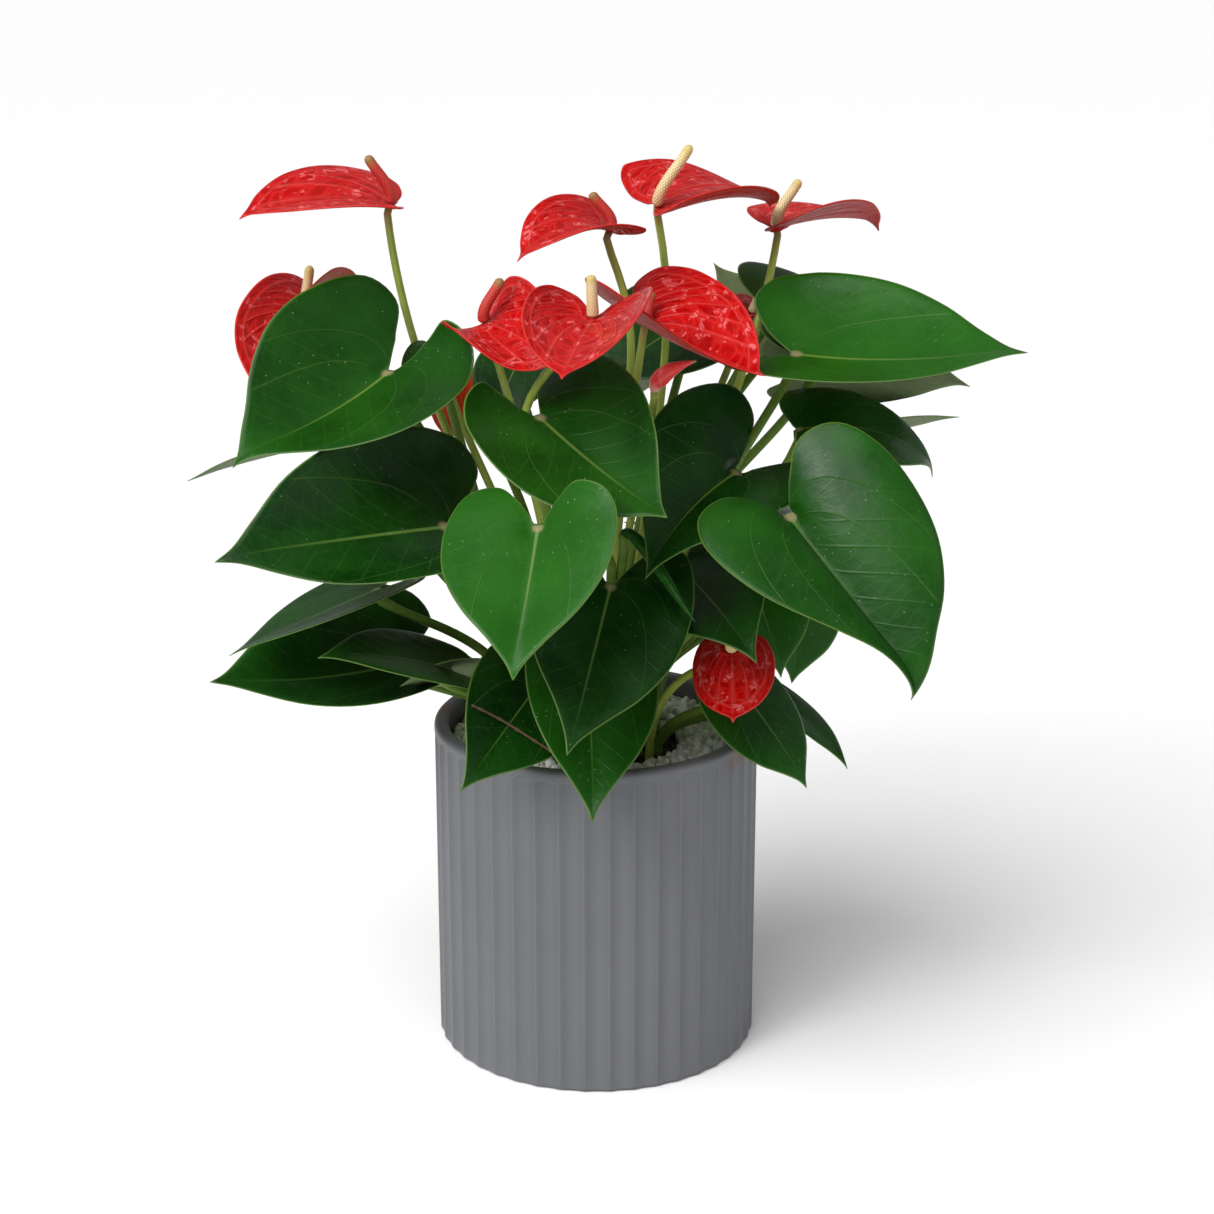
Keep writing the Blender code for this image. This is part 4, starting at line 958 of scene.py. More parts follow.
# %% Feet of the stalks
SPREAD_ROUNDS = 400
SPREAD_STEP = 0.4
LOW_BLADE = 240
LOW_FOOT_SHARE = 0.42
FOOT_SHARE = 0.26


def spread(wanted):
    """Moves the stalks' feet apart until they keep their spacing, inside the stem field."""
    feet = np.array(wanted, float)
    for _ in range(SPREAD_ROUNDS):
        for i in range(len(feet)):
            away = feet[i] - feet
            gap = np.hypot(away[:, 0], away[:, 1])
            near = (gap > 0) & (gap < STEM_SPACING)
            push = (away[near] / gap[near, None] * (STEM_SPACING - gap[near, None])).sum(0)
            feet[i] = feet[i] + push * SPREAD_STEP
            reach = np.hypot(*feet[i])
            feet[i] = feet[i] * min(1, STEM_FIELD / reach)
    return np.round(feet, 1)


def wanted_foot(base):
    """Where a stalk would rise by itself: low leaves come from the outside of the clump."""
    share = LOW_FOOT_SHARE if base[2] < LOW_BLADE else FOOT_SHARE
    return share * base[0], share * (base[1] + 10)


print("the bud's stalk would rise at:", np.round(wanted_foot(BUD_BASE), 1))

# %% Grow the stalks
FAR_AWAY = 1e4
GROWING_ROUNDS = 2


def spadix_path(blade, tip, count):
    """Centre line of a spadix: it leaves the disc upright and leans to its tip."""
    up = blade_frame(blade)[0][:, 2]
    start = np.asarray(blade.base, float) + up * (BLADE_THICK / 2 + 0.5)
    end = np.asarray(tip, float)
    reach = np.linalg.norm(end - start)
    return bezier((start, start + up * reach * 0.35, start + (end - start) * 0.65, end), count)


def grow_stalks():
    """All stalks and the way of each, clear of the blades and of the other stalks where that is possible."""
    Stem = namedtuple("Stem", "owner top down foot habit way own")
    sheets, stems = [], []
    owners = [(bloom.name, [bloom.blade], SPATHE_OUTLINE, BLADE_THICK / 2 + GAP) for bloom in BLOOMS]
    owners += [(leaf.name, leaf.blades, LEAF_OUTLINE, BLADE_THICK / 2 + KNOB_DROP) for leaf in LEAVES]
    wishes = [wanted_foot(blades[0].base) for _, blades, _, _ in owners]
    feet = spread(wishes + [wanted_foot(BUD_BASE), wanted_foot(NEW_LEAF_TOP)])
    for (name, blades, outline, drop), foot in zip(owners, feet):
        for blade in blades:
            up = blade_frame(blade)[0][:, 2]
            top = np.asarray(blade.base, float) - up * drop
            apart = CROWN_SPREAD * unit(blade.base[:2]) if len(blades) > 1 else (0, 0)
            stems.append(Stem(name, top, -up, foot + apart, blade.bow, blade.way, len(sheets)))
            sheets.append(blade_grid(blade, outline, ROUTE_STEPS))
    down = np.array([0, 0, -1.0])
    stems.append(Stem("bud", np.array(BUD_BASE, float) + down * GAP, down, feet[-2], (0, 0), None, None))
    stems.append(Stem("rolled", np.array(NEW_LEAF_TOP, float), down, feet[-1], (0, 0), None, None))
    fixed = [(bloom.name, sampled(spadix_path(bloom.blade, bloom.spadix, SPADIX_RINGS))) for bloom in BLOOMS]
    # For each blade a tree of all the others and one of its own; bud and rolled leaf have no own blade.
    trees = [(tree_of(sheets[:i] + sheets[i + 1:]), tree_of([sheets[i]])) for i in range(len(sheets))]
    whole, bare = tree_of(sheets), tree_of([np.full((2, 2, 3), FAR_AWAY)])
    paths, ways = {}, {}
    # In the second round each stalk also sees those that grew after it in the first.
    for _ in range(GROWING_ROUNDS):
        for number, stem in enumerate(stems):
            if stem.way is not None:
                ways[number] = (stem.way, stem.habit)
                paths[number] = stalk_curve(stem.top, stem.down, stem.foot, *ways[number])
                continue
            others = [sampled(path) for key, path in paths.items() if stems[key].owner != stem.owner]
            others += [spadix for name, spadix in fixed if name != stem.owner]
            tree, own_tree = (whole, bare) if stem.own is None else trees[stem.own]
            ways[number] = grown(stem.top, stem.down, stem.foot, stem.habit, tree, own_tree,
                                 tree_of_points(np.vstack(others)))
            paths[number] = stalk_curve(stem.top, stem.down, stem.foot, *ways[number])
    return stems, [ways[number] for number in range(len(stems))]


stems, ways = grow_stalks()
owned = {}
for stem, way in zip(stems, ways):
    owned.setdefault(stem.owner, []).append((stem, way))
print("stalks:", len(stems), "with", len(owned), "owners")

# %% [markdown]
# Every fine piece is a set of closed bodies worked out as whole arrays. The first helper joins rings of
# points into a closed skin. The last one turns each body's faces outwards by the sign of its volume, scales
# the millimetres to metres, and writes points, faces and attributes into one mesh with foreach_set, which
# takes a whole array at once and is much faster than adding points one by one.

# %% From arrays to pieces
Body = namedtuple("Body", "points quads tris flat trait")


def ringed(rings, flat, trait=None):
    """Closed body: quads between neighbouring rings, and a fan to the middle of the first and the last."""
    rows, columns = rings.shape[:2]
    number = np.arange(rows * columns).reshape(rows, columns)
    beside = np.roll(number, -1, axis=1)
    quads = np.stack([number[:-1], beside[:-1], beside[1:], number[1:]], -1).reshape(-1, 4)
    poles = np.full((2, columns), [[rows * columns], [rows * columns + 1]])
    tris = np.vstack([np.stack([beside[0], number[0], poles[0]], -1),
                      np.stack([number[-1], beside[-1], poles[1]], -1)])
    trait = np.zeros_like(rings) if trait is None else trait
    filled = [np.vstack([values.reshape(-1, 3), values[0].mean(0), values[-1].mean(0)])
              for values in (rings, flat, trait)]
    return Body(filled[0], quads, tris, filled[1], filled[2])


def outward(body):
    """The body with its faces turned so that its volume, a sum of signed tetrahedra, is positive."""
    quads, tris = body.quads, body.tris
    split = np.vstack([quads[:, :3], quads[:, [0, 2, 3]], tris])
    a, b, c = (body.points[split[:, i]] - body.points[0] for i in range(3))
    if np.einsum("ij,ij->i", a, np.cross(b, c)).sum() < 0:
        quads, tris = quads[:, ::-1], tris[:, ::-1]
    return body._replace(quads=quads, tris=tris)


def put(name, bodies, material, slot, *nodes):
    """One mesh object at the origin from closed bodies; it takes the place of the named solids."""
    bodies = [outward(body) for body in bodies]
    first = np.cumsum([0] + [len(body.points) for body in bodies])
    points = np.vstack([body.points for body in bodies]) * MM
    quads = np.vstack([body.quads + start for body, start in zip(bodies, first)])
    tris = np.vstack([body.tris + start for body, start in zip(bodies, first)])
    corners = np.concatenate([quads.ravel(), tris.ravel()])
    starts = np.concatenate([np.arange(len(quads)) * 4, len(quads) * 4 + np.arange(len(tris)) * 3])
    mesh = bpy.data.meshes.new(name)
    mesh.vertices.add(len(points))
    mesh.vertices.foreach_set("co", points.ravel())
    mesh.loops.add(len(corners))
    mesh.loops.foreach_set("vertex_index", corners.astype(np.int32))
    mesh.polygons.add(len(starts))
    mesh.polygons.foreach_set("loop_start", starts.astype(np.int32))
    mesh.update(calc_edges=True)
    for key in ("flat", "trait"):
        values = np.vstack([getattr(body, key) for body in bodies])
        mesh.attributes.new(key, "FLOAT_VECTOR", "POINT").data.foreach_set("vector", values.ravel())
    mesh.shade_smooth()
    mesh.materials.append(material)
    piece = bpy.data.objects.new(name, mesh)
    bpy.context.scene.collection.objects.link(piece)
    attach(piece, "root")
    if nodes:
        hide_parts(*nodes)
    made.append((name, len(quads) * 2 + len(tris)))
    return piece


made = []


def pipe(path, radii, sides):
    """Rings round a path, each square to it and turned from the plane that the path lies in."""
    tangent = unit(np.gradient(path, axis=0))
    plane = np.linalg.svd(path - path.mean(0))[2][2]
    first = unit(np.cross(tangent, plane))
    second = np.cross(tangent, first)
    turn = np.linspace(0, 2 * math.pi, sides, endpoint=False)[:, None]
    radii = np.broadcast_to(np.asarray(radii, float).reshape(len(path), -1), (len(path), sides))
    spokes = np.cos(turn) * first[:, None] + np.sin(turn) * second[:, None]
    return path[:, None] + radii[..., None] * spokes


def around(rows, columns, third=0.0):
    """Marks for rings: share of the turn, share of the length, and a third value."""
    down = np.broadcast_to(np.linspace(0, 1, rows)[:, None], (rows, columns))
    turn = np.broadcast_to(np.linspace(0, 1, columns, endpoint=False), (rows, columns))
    return np.stack([turn, down, np.broadcast_to(third, down.shape)], -1)


print("mesh helpers ready")

# %% [markdown]
# A blade is a two-parameter surface. One parameter runs round the margin from one side of the notch over
# the tip to the other; the second runs outwards from the small disc where the stalk joins. The flat point
# is bent with the blade's own numbers, then top and underside are set off along the normals, and a rounded
# rim closes them. Veins are lines of a constant number: the angle from the tip direction, grown by how far
# out the point lies, so that each line leaves the joint at its own angle and bends on towards the tip.


# %% Blades
BLADE_ROW_GROWTH = 0.9
VEIN_SWEEP = 2.2
VEIN_RIDGE_WIDTH = 0.16
VEIN_RIDGE_INSET = 3.0
MARGIN_RIDGE_INSET = 4.8
MARGIN_RIDGE_WIDTH = 1.3
MARGIN_RIDGE_SHARE = 0.7
WAVE_COUNT = 2.5
WAVE_HEIGHT = 0.5
RIM_ROUND = 0.6
KNUCKLE_SWELL = 0.22
KNUCKLE_DOWN = 7.0
KNUCKLE_LENGTH = 6.0
STALK_TAPER = 0.15
STALK_SIDES = 12
STALK_TRAIT = (-1.0, 0.5, 0.5)


def smooth(share):
    """Smooth step of a share from 0 to 1: three squares less two cubes."""
    share = np.clip(share, 0, 1)
    return share * share * (3 - 2 * share)


def edge_distance(points, border):
    """Distance from flat points to the nearest segment of a closed border."""
    start, end = border, np.roll(border, -1, axis=0)
    step = end - start
    offset = points[..., None, :] - start
    part = np.clip((offset * step).sum(-1) / np.maximum((step ** 2).sum(-1), 1e-9), 0, 1)
    return np.linalg.norm(offset - part[..., None] * step, axis=-1).min(-1)


def blade_body(blade, outline, rows, half_columns, tone, thick, spacing, relief):
    """Closed blade: rows from the joint outwards, columns round the margin, thickness along the normals."""
    # The flat blade, level round its joint and bent further out, in its place on the plant.
    axes, length = blade_frame(blade)
    margin = flat_margin(outline, np.linspace(0, len(outline) - 1, half_columns))
    reach = heeled(margin, blade.shape) * (blade.shape.width, 1)
    size = np.linalg.norm(reach, axis=-1)
    disc = np.minimum(DISC_RADIUS, DISC_SHARE * length * size) / (length * size)
    share = disc + (1 - disc) * np.linspace(0, 1, rows)[:, None] ** BLADE_ROW_GROWTH
    flat = margin * share[..., None]
    level = np.concatenate([reach * share[..., None], np.zeros(share.shape + (1,))], -1)
    blend = smooth((share / disc - 0.9) / 1.6)[..., None]
    own = (level * (1 - blend) + bent(flat, blade.shape) * blend) * length
    grid = own @ axes.T + np.asarray(blade.base, float)

    # Distance to the margin and number of the vein at every point; ridges and waves lift the surface.
    ground = level[..., :2] * length
    border = np.vstack([ground[:, 0], ground[-1], ground[::-1, -1]])
    edge = edge_distance(ground, border)
    angle = np.arctan2(np.abs(level[..., 0]), level[..., 1])
    vein = angle * (1 + VEIN_SWEEP * share ** 2) / spacing
    ridge = smooth(1 - np.abs((vein + 0.5) % 1 - 0.5) / VEIN_RIDGE_WIDTH)
    ridge = ridge * np.clip(edge / VEIN_RIDGE_INSET - 1, 0, 1) * np.clip(share * 4 - 0.4, 0, 1)
    rim_ridge = np.clip(1 - np.abs(edge - MARGIN_RIDGE_INSET) / MARGIN_RIDGE_WIDTH, 0, 1)
    ridge = np.maximum(ridge, rim_ridge * MARGIN_RIDGE_SHARE)
    wave = np.sin(np.linspace(0, WAVE_COUNT * 2 * math.pi, len(margin)) + length) * share ** 5
    normals = surface_normals(grid)
    normals[0] = axes[:, 2]
    grid = grid + normals * (relief * (ridge - 0.3) + WAVE_HEIGHT * wave)[..., None]

    # Top and underside, the rim between them, and a fan over the joint on each side.
    half = thick / 2 * np.sqrt(np.clip(edge / (thick * RIM_ROUND), 0.15, 1))[..., None]
    count = share.size
    number = np.arange(count).reshape(share.shape)
    loop = np.concatenate([number[:, 0], number[-1, 1:-1], number[::-1, -1]])
    after = np.roll(loop, -1)
    poles = 2 * count + np.arange(2)
    cell = np.stack([number[:-1, :-1], number[:-1, 1:], number[1:, 1:], number[1:, :-1]], -1).reshape(-1, 4)
    rim = np.stack([loop, after, after + count, loop + count], -1)
    ring, beside = number[0], np.roll(number[0], -1)
    fan = np.stack([beside, ring, np.full(len(ring), poles[0])], -1)
    under_fan = np.stack([ring, beside, np.full(len(ring), poles[0])], -1) + (count, count, 1)
    base = np.asarray(blade.base, float)
    points = np.vstack([(grid + normals * half).reshape(-1, 3), (grid - normals * half).reshape(-1, 3),
                        base + axes[:, 2] * thick / 2, base - axes[:, 2] * thick / 2])

    # The two attributes that the finish reads.
    marks = np.stack([level[..., 0] / blade.shape.width, level[..., 1], edge / 10], -1).reshape(-1, 3)
    flat_marks = np.vstack([marks, marks, [[0, 0, 3], [0, 0, 3]]])
    upper = np.stack([np.ones(count), np.full(count, tone), vein.ravel()], -1)
    trait = np.vstack([upper, upper * (0, 1, 1), [[1, tone, 0.5], [0, tone, 0.5]]])
    quads = np.vstack([cell, cell[:, ::-1] + count, rim])
    return Body(points, quads, np.vstack([fan, under_fan]), flat_marks, trait)


def stalk_body(path, radius, knuckle, browned=1.0):
    """Round stalk that widens a little downwards; its top may be browned, and a leaf's has a knuckle."""
    reach = np.concatenate([[0], np.cumsum(np.linalg.norm(np.diff(path, axis=0), axis=1))])
    swell = 1 + KNUCKLE_SWELL * knuckle * np.exp(-((reach - KNUCKLE_DOWN) / KNUCKLE_LENGTH) ** 2)
    radii = radius * (1 + STALK_TAPER * reach / reach[-1]) * swell
    # The turn starts at 2, outside a blade's half width of 1, so that no vein falls on a leaf's stalk.
    flat = around(len(path), STALK_SIDES, browned) + (2, 0, 0)
    flat[..., 1] = (reach / 100)[:, None]
    return ringed(pipe(path, radii, STALK_SIDES), flat, np.broadcast_to(STALK_TRAIT, flat.shape))


print("blade and stalk recipes ready")

# %% [markdown]
# A leaf is one piece with its stalk. Where several leaves rise from one crown, they are one piece too, with
# a short sheath round the foot of their stalks. Those clumps stand mostly at the back, so their blades have
# fewer rows and columns than the single leaves in front.

# %% Leaves
LEAF_THICK = 0.8
LEAF_VEINS = 1.25
LEAF_RELIEF = 0.15
SINGLE_GRID = (26, 49)
CLUMP_GRID = (18, 37)
STALK_POINTS = 25
CROWN_RINGS = 8
CROWN_SIDES = 14
CROWN_HEIGHT = 8.0
CROWN_TAPER = 0.8


def stalk_of(stem, way, lift):
    """Fine path of one stalk, from the underside of its joint to its foot."""
    path = stalk_curve(stem.top, stem.down, stem.foot, *way, STALK_POINTS)
    return np.vstack([stem.top - stem.down * lift, path[1:]])


def crown_body(feet):
    """Short tapering sheath that rises from the hole round the feet of a clump's stalks."""
    heights = np.linspace(SOIL_TOP - HOLE_DEPTH + GAP, SOIL_TOP + CROWN_HEIGHT, CROWN_RINGS)
    path = np.column_stack([np.tile(np.mean(feet, axis=0), (CROWN_RINGS, 1)), heights])
    radii = np.linspace(1, CROWN_TAPER, CROWN_RINGS) * CROWN_RADIUS
    flat = around(CROWN_RINGS, CROWN_SIDES, 1.0)
    return ringed(pipe(path, radii, CROWN_SIDES), flat, np.broadcast_to(STALK_TRAIT, flat.shape))


for leaf in LEAVES:
    grid = SINGLE_GRID if len(leaf.blades) == 1 else CLUMP_GRID
    bodies = [blade_body(blade, LEAF_OUTLINE, *grid, leaf.tone, LEAF_THICK, LEAF_VEINS, LEAF_RELIEF)
              for blade in leaf.blades]
    bodies += [stalk_body(stalk_of(stem, way, KNOB_DROP), PETIOLE_RADIUS, 1.0)
               for stem, way in owned[leaf.name]]
    if grid == CLUMP_GRID:
        bodies.append(crown_body([stem.foot for stem, _ in owned[leaf.name]]))
    put(leaf.name + "_fine", bodies, leaf_green, "leaf", leaf.name)
print("leaf faces:", sum(count for _, count in made))

# %% [markdown]
# A bloom is a spathe, a spadix and a stalk. The spathe uses the same blade with more rows, because its
# raised veins are shaped in the mesh itself. The spadix is a tapering finger whose radius rises and falls
# in two families of spirals that cross, which gives the lattice of tiny flowers.

# %% Blooms
SPATHE_THICK = 1.0
SPATHE_GRID = (46, 73)
SPATHE_VEINS = 0.62
SPATHE_RELIEF = 0.45
KNOBS_ROUND = 11
KNOB_ROWS = 13
KNOB_HEIGHT = 0.34
KNOB_SOFTNESS = 0.7
SPADIX_GRID = (110, 44)
SPADIX_TAPER = 0.2
TIP_SHARE = 0.1
NECK_WIDTH = 0.66
NECK_SHARE = 0.05
# How orange the back of a spathe is.
ORANGE_BACKS = {"left_back": 1.0, "back_left": 0.6}
PLAIN_BACK = 0.1


def spadix_body(bloom):
    """Rings round the spadix's line; the radius has a lattice on it, the product of two crossing waves."""
    rows, columns = SPADIX_GRID
    part = np.linspace(0, 1, rows)[:, None]
    turn = np.linspace(0, 2 * math.pi, columns, endpoint=False)
    left = KNOBS_ROUND * turn + 2 * math.pi * KNOB_ROWS * part
    right = KNOBS_ROUND * turn - 2 * math.pi * KNOB_ROWS * part
    knob = ((0.5 + 0.5 * np.cos(left)) * (0.5 + 0.5 * np.cos(right))) ** KNOB_SOFTNESS
    tip = np.sqrt(np.clip(1 - np.clip((part - 1 + TIP_SHARE) / TIP_SHARE, 0, 1) ** 2.2, 0.02, 1))
    neck = NECK_WIDTH + (1 - NECK_WIDTH) * np.clip(part / NECK_SHARE, 0, 1)
    radii = SPADIX_RADIUS * (1.02 - SPADIX_TAPER * part) * tip * neck + KNOB_HEIGHT * (knob - 0.3) * tip
    flat = around(rows, columns, knob)
    return ringed(pipe(spadix_path(bloom.blade, bloom.spadix, rows), radii, columns), flat)


def put_flower_stalk(name, browned):
    """The stalk of one bloom or of the bud, as a piece of its own."""
    stem, way = owned[name][0]
    stalk = stalk_body(stalk_of(stem, way, 0.0), FLOWER_STALK_RADIUS, 0.0, browned)
    put("flower_stalk_" + name + "_fine", [stalk], stalk_green, "flower_stalk", "flower_stalk_" + name)


for bloom in BLOOMS:
    back = ORANGE_BACKS.get(bloom.name, PLAIN_BACK)
    spathe = blade_body(bloom.blade, SPATHE_OUTLINE, *SPATHE_GRID, back, SPATHE_THICK, SPATHE_VEINS,
                        SPATHE_RELIEF)
    put("spathe_" + bloom.name + "_fine", [spathe], spathe_red, "spathe", "spathe_" + bloom.name)
    finish, slot = (pale_spadix, "pale_spadix") if bloom.pale else (red_spadix, "red_spadix")
    put("spadix_" + bloom.name + "_fine", [spadix_body(bloom)], finish, slot, "spadix_" + bloom.name)
    put_flower_stalk(bloom.name, browned=1.0)
print("pieces so far:", len(made))

# %% [markdown]
# The closed bud and the rolled new leaf are both sheets wound round themselves. A tube with a spiral step
# in its radius shows the outer lap, and the mark along the step lets the finish draw the lap's paler edge.


# %% Bud and rolled leaf
ROLL_ROWS = 40
ROLL_SIDES = 32
ROLL_WINDING = 0.9
LAP_WIDTH = 0.12
LAP_STEP = 0.12
UPPER_TRAIT = (1.0, 0.5, 0.5)
BUD_RADII = (1.8, 3.3, 4.4, 4.6, 4.0, 2.9, 1.6, 0.4)
NEW_LEAF_RADII = (2.2, 2.7, 3.2, 3.3, 3.1, 2.5, 1.5, 0.4)


def rolled_body(corners, radii):
    """Tube on a cubic curve, marked as upper side; its radius drops by a step along a winding line."""
    place = np.linspace(0, len(radii) - 1, ROLL_ROWS)
    radii = np.interp(place, np.arange(len(radii)), radii)
    part = np.linspace(0, 1, ROLL_ROWS)[:, None]
    turn = np.linspace(0, 1, ROLL_SIDES, endpoint=False)
    wind = (turn + part * ROLL_WINDING) % 1
    lap = np.clip(1 - wind / LAP_WIDTH, 0, 1) * np.sin(math.pi * part) ** 0.5
    flat = around(ROLL_ROWS, ROLL_SIDES, 1 - lap)
    rings = pipe(bezier(corners, ROLL_ROWS), radii[:, None] * (1 - LAP_STEP * wind), ROLL_SIDES)
    return ringed(rings, flat, np.broadcast_to(UPPER_TRAIT, flat.shape))


base, tip = np.array(BUD_BASE, float), np.array(BUD_TIP, float)
bud_corners = (base, base + (0, 0, 7), base + (tip - base) * 0.4 + (0, 0, 6), tip)
put("bud_spathe_fine", [rolled_body(bud_corners, BUD_RADII)], bud_rose, "spathe", "bud_spathe")
put_flower_stalk("bud", browned=0.0)

top, tip = np.array(NEW_LEAF_TOP, float), np.array(NEW_LEAF_TIP, float)
roll = rolled_body((top, top + (6, -3, 6), top + (tip - top) * 0.6, tip), NEW_LEAF_RADII)
stem, way = owned["rolled"][0]
stalk = stalk_body(stalk_of(stem, way, 0.0), PETIOLE_RADIUS, 0.0)
put("leaf_rolled_fine", [roll, stalk], leaf_green, "leaf", "leaf_rolled")
print("pieces so far:", len(made))

# %% [markdown]
# The pot is a lathe shape with forty-two hollow flutes. The radius depends on height and angle: each flute
# is one arch of a sine, and it runs out upwards under a round arch, like the top of a window, below the
# plain lip. Cutting the flutes out of a cylinder would leave ragged edges where they end; a radius that is
# worked out for each point keeps the mesh in even rings, with a line of points on every edge.

# %% Pot
FLUTE_COLUMNS = 12
FLUTE_RUNOUT = 1.8
ARRIS_ROUND = 0.25
FOOT_FADE = 5.0
FOOT_DEPTH = 0.4
# Rings on the outer wall: height of the first, height of the last, and how many.
LOW_WALL = (8.0, 152.0, 8)
RUNOUT_WALL = (157.0, 166.2, 24)
EDGE_STEPS = 6


def pot_body():
    """Rings from the foot over the lip and down inside; a flute's depth is a sine times its run-out."""
    turn = np.arange(FLUTE_COUNT * FLUTE_COLUMNS) / FLUTE_COLUMNS
    hollow = np.sqrt(np.sin(math.pi * (turn % 1)) ** 2 + ARRIS_ROUND ** 2) - ARRIS_ROUND
    hollow = hollow / (math.hypot(1, ARRIS_ROUND) - ARRIS_ROUND)
    arch = FLUTE_TOP - FLUTE_ARCH * (1 - np.sqrt(1 - (2 * (turn % 1) - 1) ** 2))
    inside = POT_RADIUS - POT_WALL
    quarter = np.linspace(0, math.pi / 2, EDGE_STEPS)
    foot = [(POT_RADIUS - FOOT_EDGE * (1 - math.sin(q)), FOOT_EDGE * (1 - math.cos(q))) for q in quarter]
    wall = [(POT_RADIUS, z) for z in np.append(np.linspace(*LOW_WALL), np.linspace(*RUNOUT_WALL))]
    lip = [(POT_RADIUS - LIP_ROUND * (1 - math.cos(q)), POT_HEIGHT - LIP_ROUND * (1 - math.sin(q)))
           for q in quarter]
    brim = [(inside + LIP_ROUND * (1 - math.sin(q)), POT_HEIGHT - LIP_ROUND * (1 - math.cos(q)))
            for q in quarter]
    well = [(inside, z) for z in np.linspace(POT_HEIGHT - LIP_ROUND - 4, POT_FLOOR, 5)]
    profile = np.array(foot + wall + lip + brim + well)
    radius, height = profile[:, :1], profile[:, 1:]
    fade = np.sqrt(1 - np.clip((height - arch + FLUTE_RUNOUT) / FLUTE_RUNOUT, 0, 1) ** 2)
    fluted = (np.arange(len(profile)) < len(foot) + len(wall))[:, None]
    shallow = FOOT_DEPTH + (1 - FOOT_DEPTH) * np.clip(height / FOOT_FADE, 0, 1)
    radius = radius - FLUTE_DEPTH * hollow * fade * fluted * shallow
    angle = turn * 2 * math.pi / FLUTE_COUNT
    rings = np.stack(np.broadcast_arrays(radius * np.cos(angle), radius * np.sin(angle), height), -1)
    fluting = fade * fluted * np.clip(height / 4, 0.3, 1)
    flat = np.stack(np.broadcast_arrays(turn, height / POT_HEIGHT, fluting), -1)
    return ringed(rings, flat)


put("pot_fine", [pot_body()], pot_glaze, "pot", "pot")
print("pot faces:", made[-1][1])

# %% [markdown]
# Stone chips are crushed marble. Each is a ball cut flat by a few random planes: along every direction the
# surface lies where the nearest plane does. One array holds all chips, and a seeded generator keeps them
# the same each time. They lie in two layers on a low relief that closes the view between them. The bark
# pieces in the middle are made the same way, longer and darker.

# %% Soil, bark and chips
CHIP_SIZE = 2.9
CHIP_SCALE = (0.72, 1.12)
CHIP_STRETCH = (0.7, 1.1)
CHIP_SHADES = (1.4, 0.8)
CHIP_PLANES = 9
BARK_SMALL = (2.5, 1.4, 0.8)
BARK_LARGE = (5.5, 2.6, 1.6)
BARK_PLANES = 6
LUMP_GRID = (6, 9)
LUMP_POLE = 0.47
LUMP_REACH = 1.15
PLANE_AWAY = (0.62, 0.95)
PLANE_COSINE = 0.25
RING_SHARE = 0.87
STREW = 0.7
RELIEF_GRID = (24, 96)
SEED = 12
random = np.random.default_rng(SEED)


def lumps(centres, sizes, planes, shade):
    """Closed pebbles: the radius is the nearest plane's distance over the cosine to its normal."""
    rows, columns = LUMP_GRID
    lift = np.linspace(-LUMP_POLE, LUMP_POLE, rows)[:, None] * math.pi
    turn = np.linspace(0, 2 * math.pi, columns, endpoint=False)
    level = np.stack([np.cos(turn), np.sin(turn), 0 * turn], -1) * np.cos(lift)[..., None]
    ball = level + np.sin(lift)[..., None] * (0, 0, 1)
    count = len(centres)
    normals = unit(random.normal(size=(count, planes, 3)))
    away = random.uniform(*PLANE_AWAY, (count, planes))
    cosine = np.einsum("rcx,npx->nrcp", ball, normals)
    reach = away[:, None, None, :] / np.maximum(cosine, PLANE_COSINE)
    reach = np.minimum(np.where(cosine > PLANE_COSINE, reach, LUMP_REACH).min(-1), LUMP_REACH)
    spin = np.linalg.qr(random.normal(size=(count, 3, 3)))[0]
    local = ball * reach[..., None] * sizes[:, None, None, :]
    placed = np.einsum("nrcx,nyx->nrcy", local, spin) + centres[:, None, None, :]
    return [ringed(rings, np.broadcast_to((tint, random.random() ** 3, 0.0), rings.shape).copy())
            for rings, tint in zip(placed, shade)]


def strewn(inner, outer, pitch, height, spread_height):
    """Centres about one pitch apart on rings a little closer than that, each moved a little at random."""
    rings = [np.column_stack([np.full(n, r), (np.arange(n) + random.random()) / n * 2 * math.pi])
             for r in np.arange(inner, outer, pitch * RING_SHARE)
             for n in [max(1, int(2 * math.pi * r / pitch))]]
    polar = np.vstack(rings)
    radius = np.clip(polar[:, 0] + random.normal(0, STREW, len(polar)), 0, outer)
    angle = polar[:, 1] + random.normal(0, STREW, len(polar)) / np.maximum(polar[:, 0], 4)
    lift = height + random.uniform(-spread_height, spread_height, len(polar))
    return np.column_stack([radius * np.cos(angle), radius * np.sin(angle), lift])


def relief_body(inner, outer, bottom, level, uneven):
    """Closed ring or disc with a gently uneven top, made of sine waves of two directions."""
    rows, columns = RELIEF_GRID
    radius = np.linspace(outer, inner, rows)
    turn = np.linspace(0, 2 * math.pi, columns, endpoint=False)
    x, y = radius[:, None] * np.cos(turn), radius[:, None] * np.sin(turn)
    waves = np.sin(x * 0.9 + 1.3 * np.sin(y * 0.5)) + np.sin(y * 1.1 + 1.7 * np.sin(x * 0.4))
    top = level + uneven * waves
    low = np.broadcast_to(bottom, turn.shape)
    rings = [np.stack([outer * np.cos(turn), outer * np.sin(turn), low], -1)]
    rings += list(np.stack([x, y, top], -1))
    if inner > 1:
        rings.append(np.stack([inner * np.cos(turn), inner * np.sin(turn), low], -1))
    rings = np.array(rings)
    return ringed(rings, np.broadcast_to((0.3, 0.0, 0.0), rings.shape).copy())


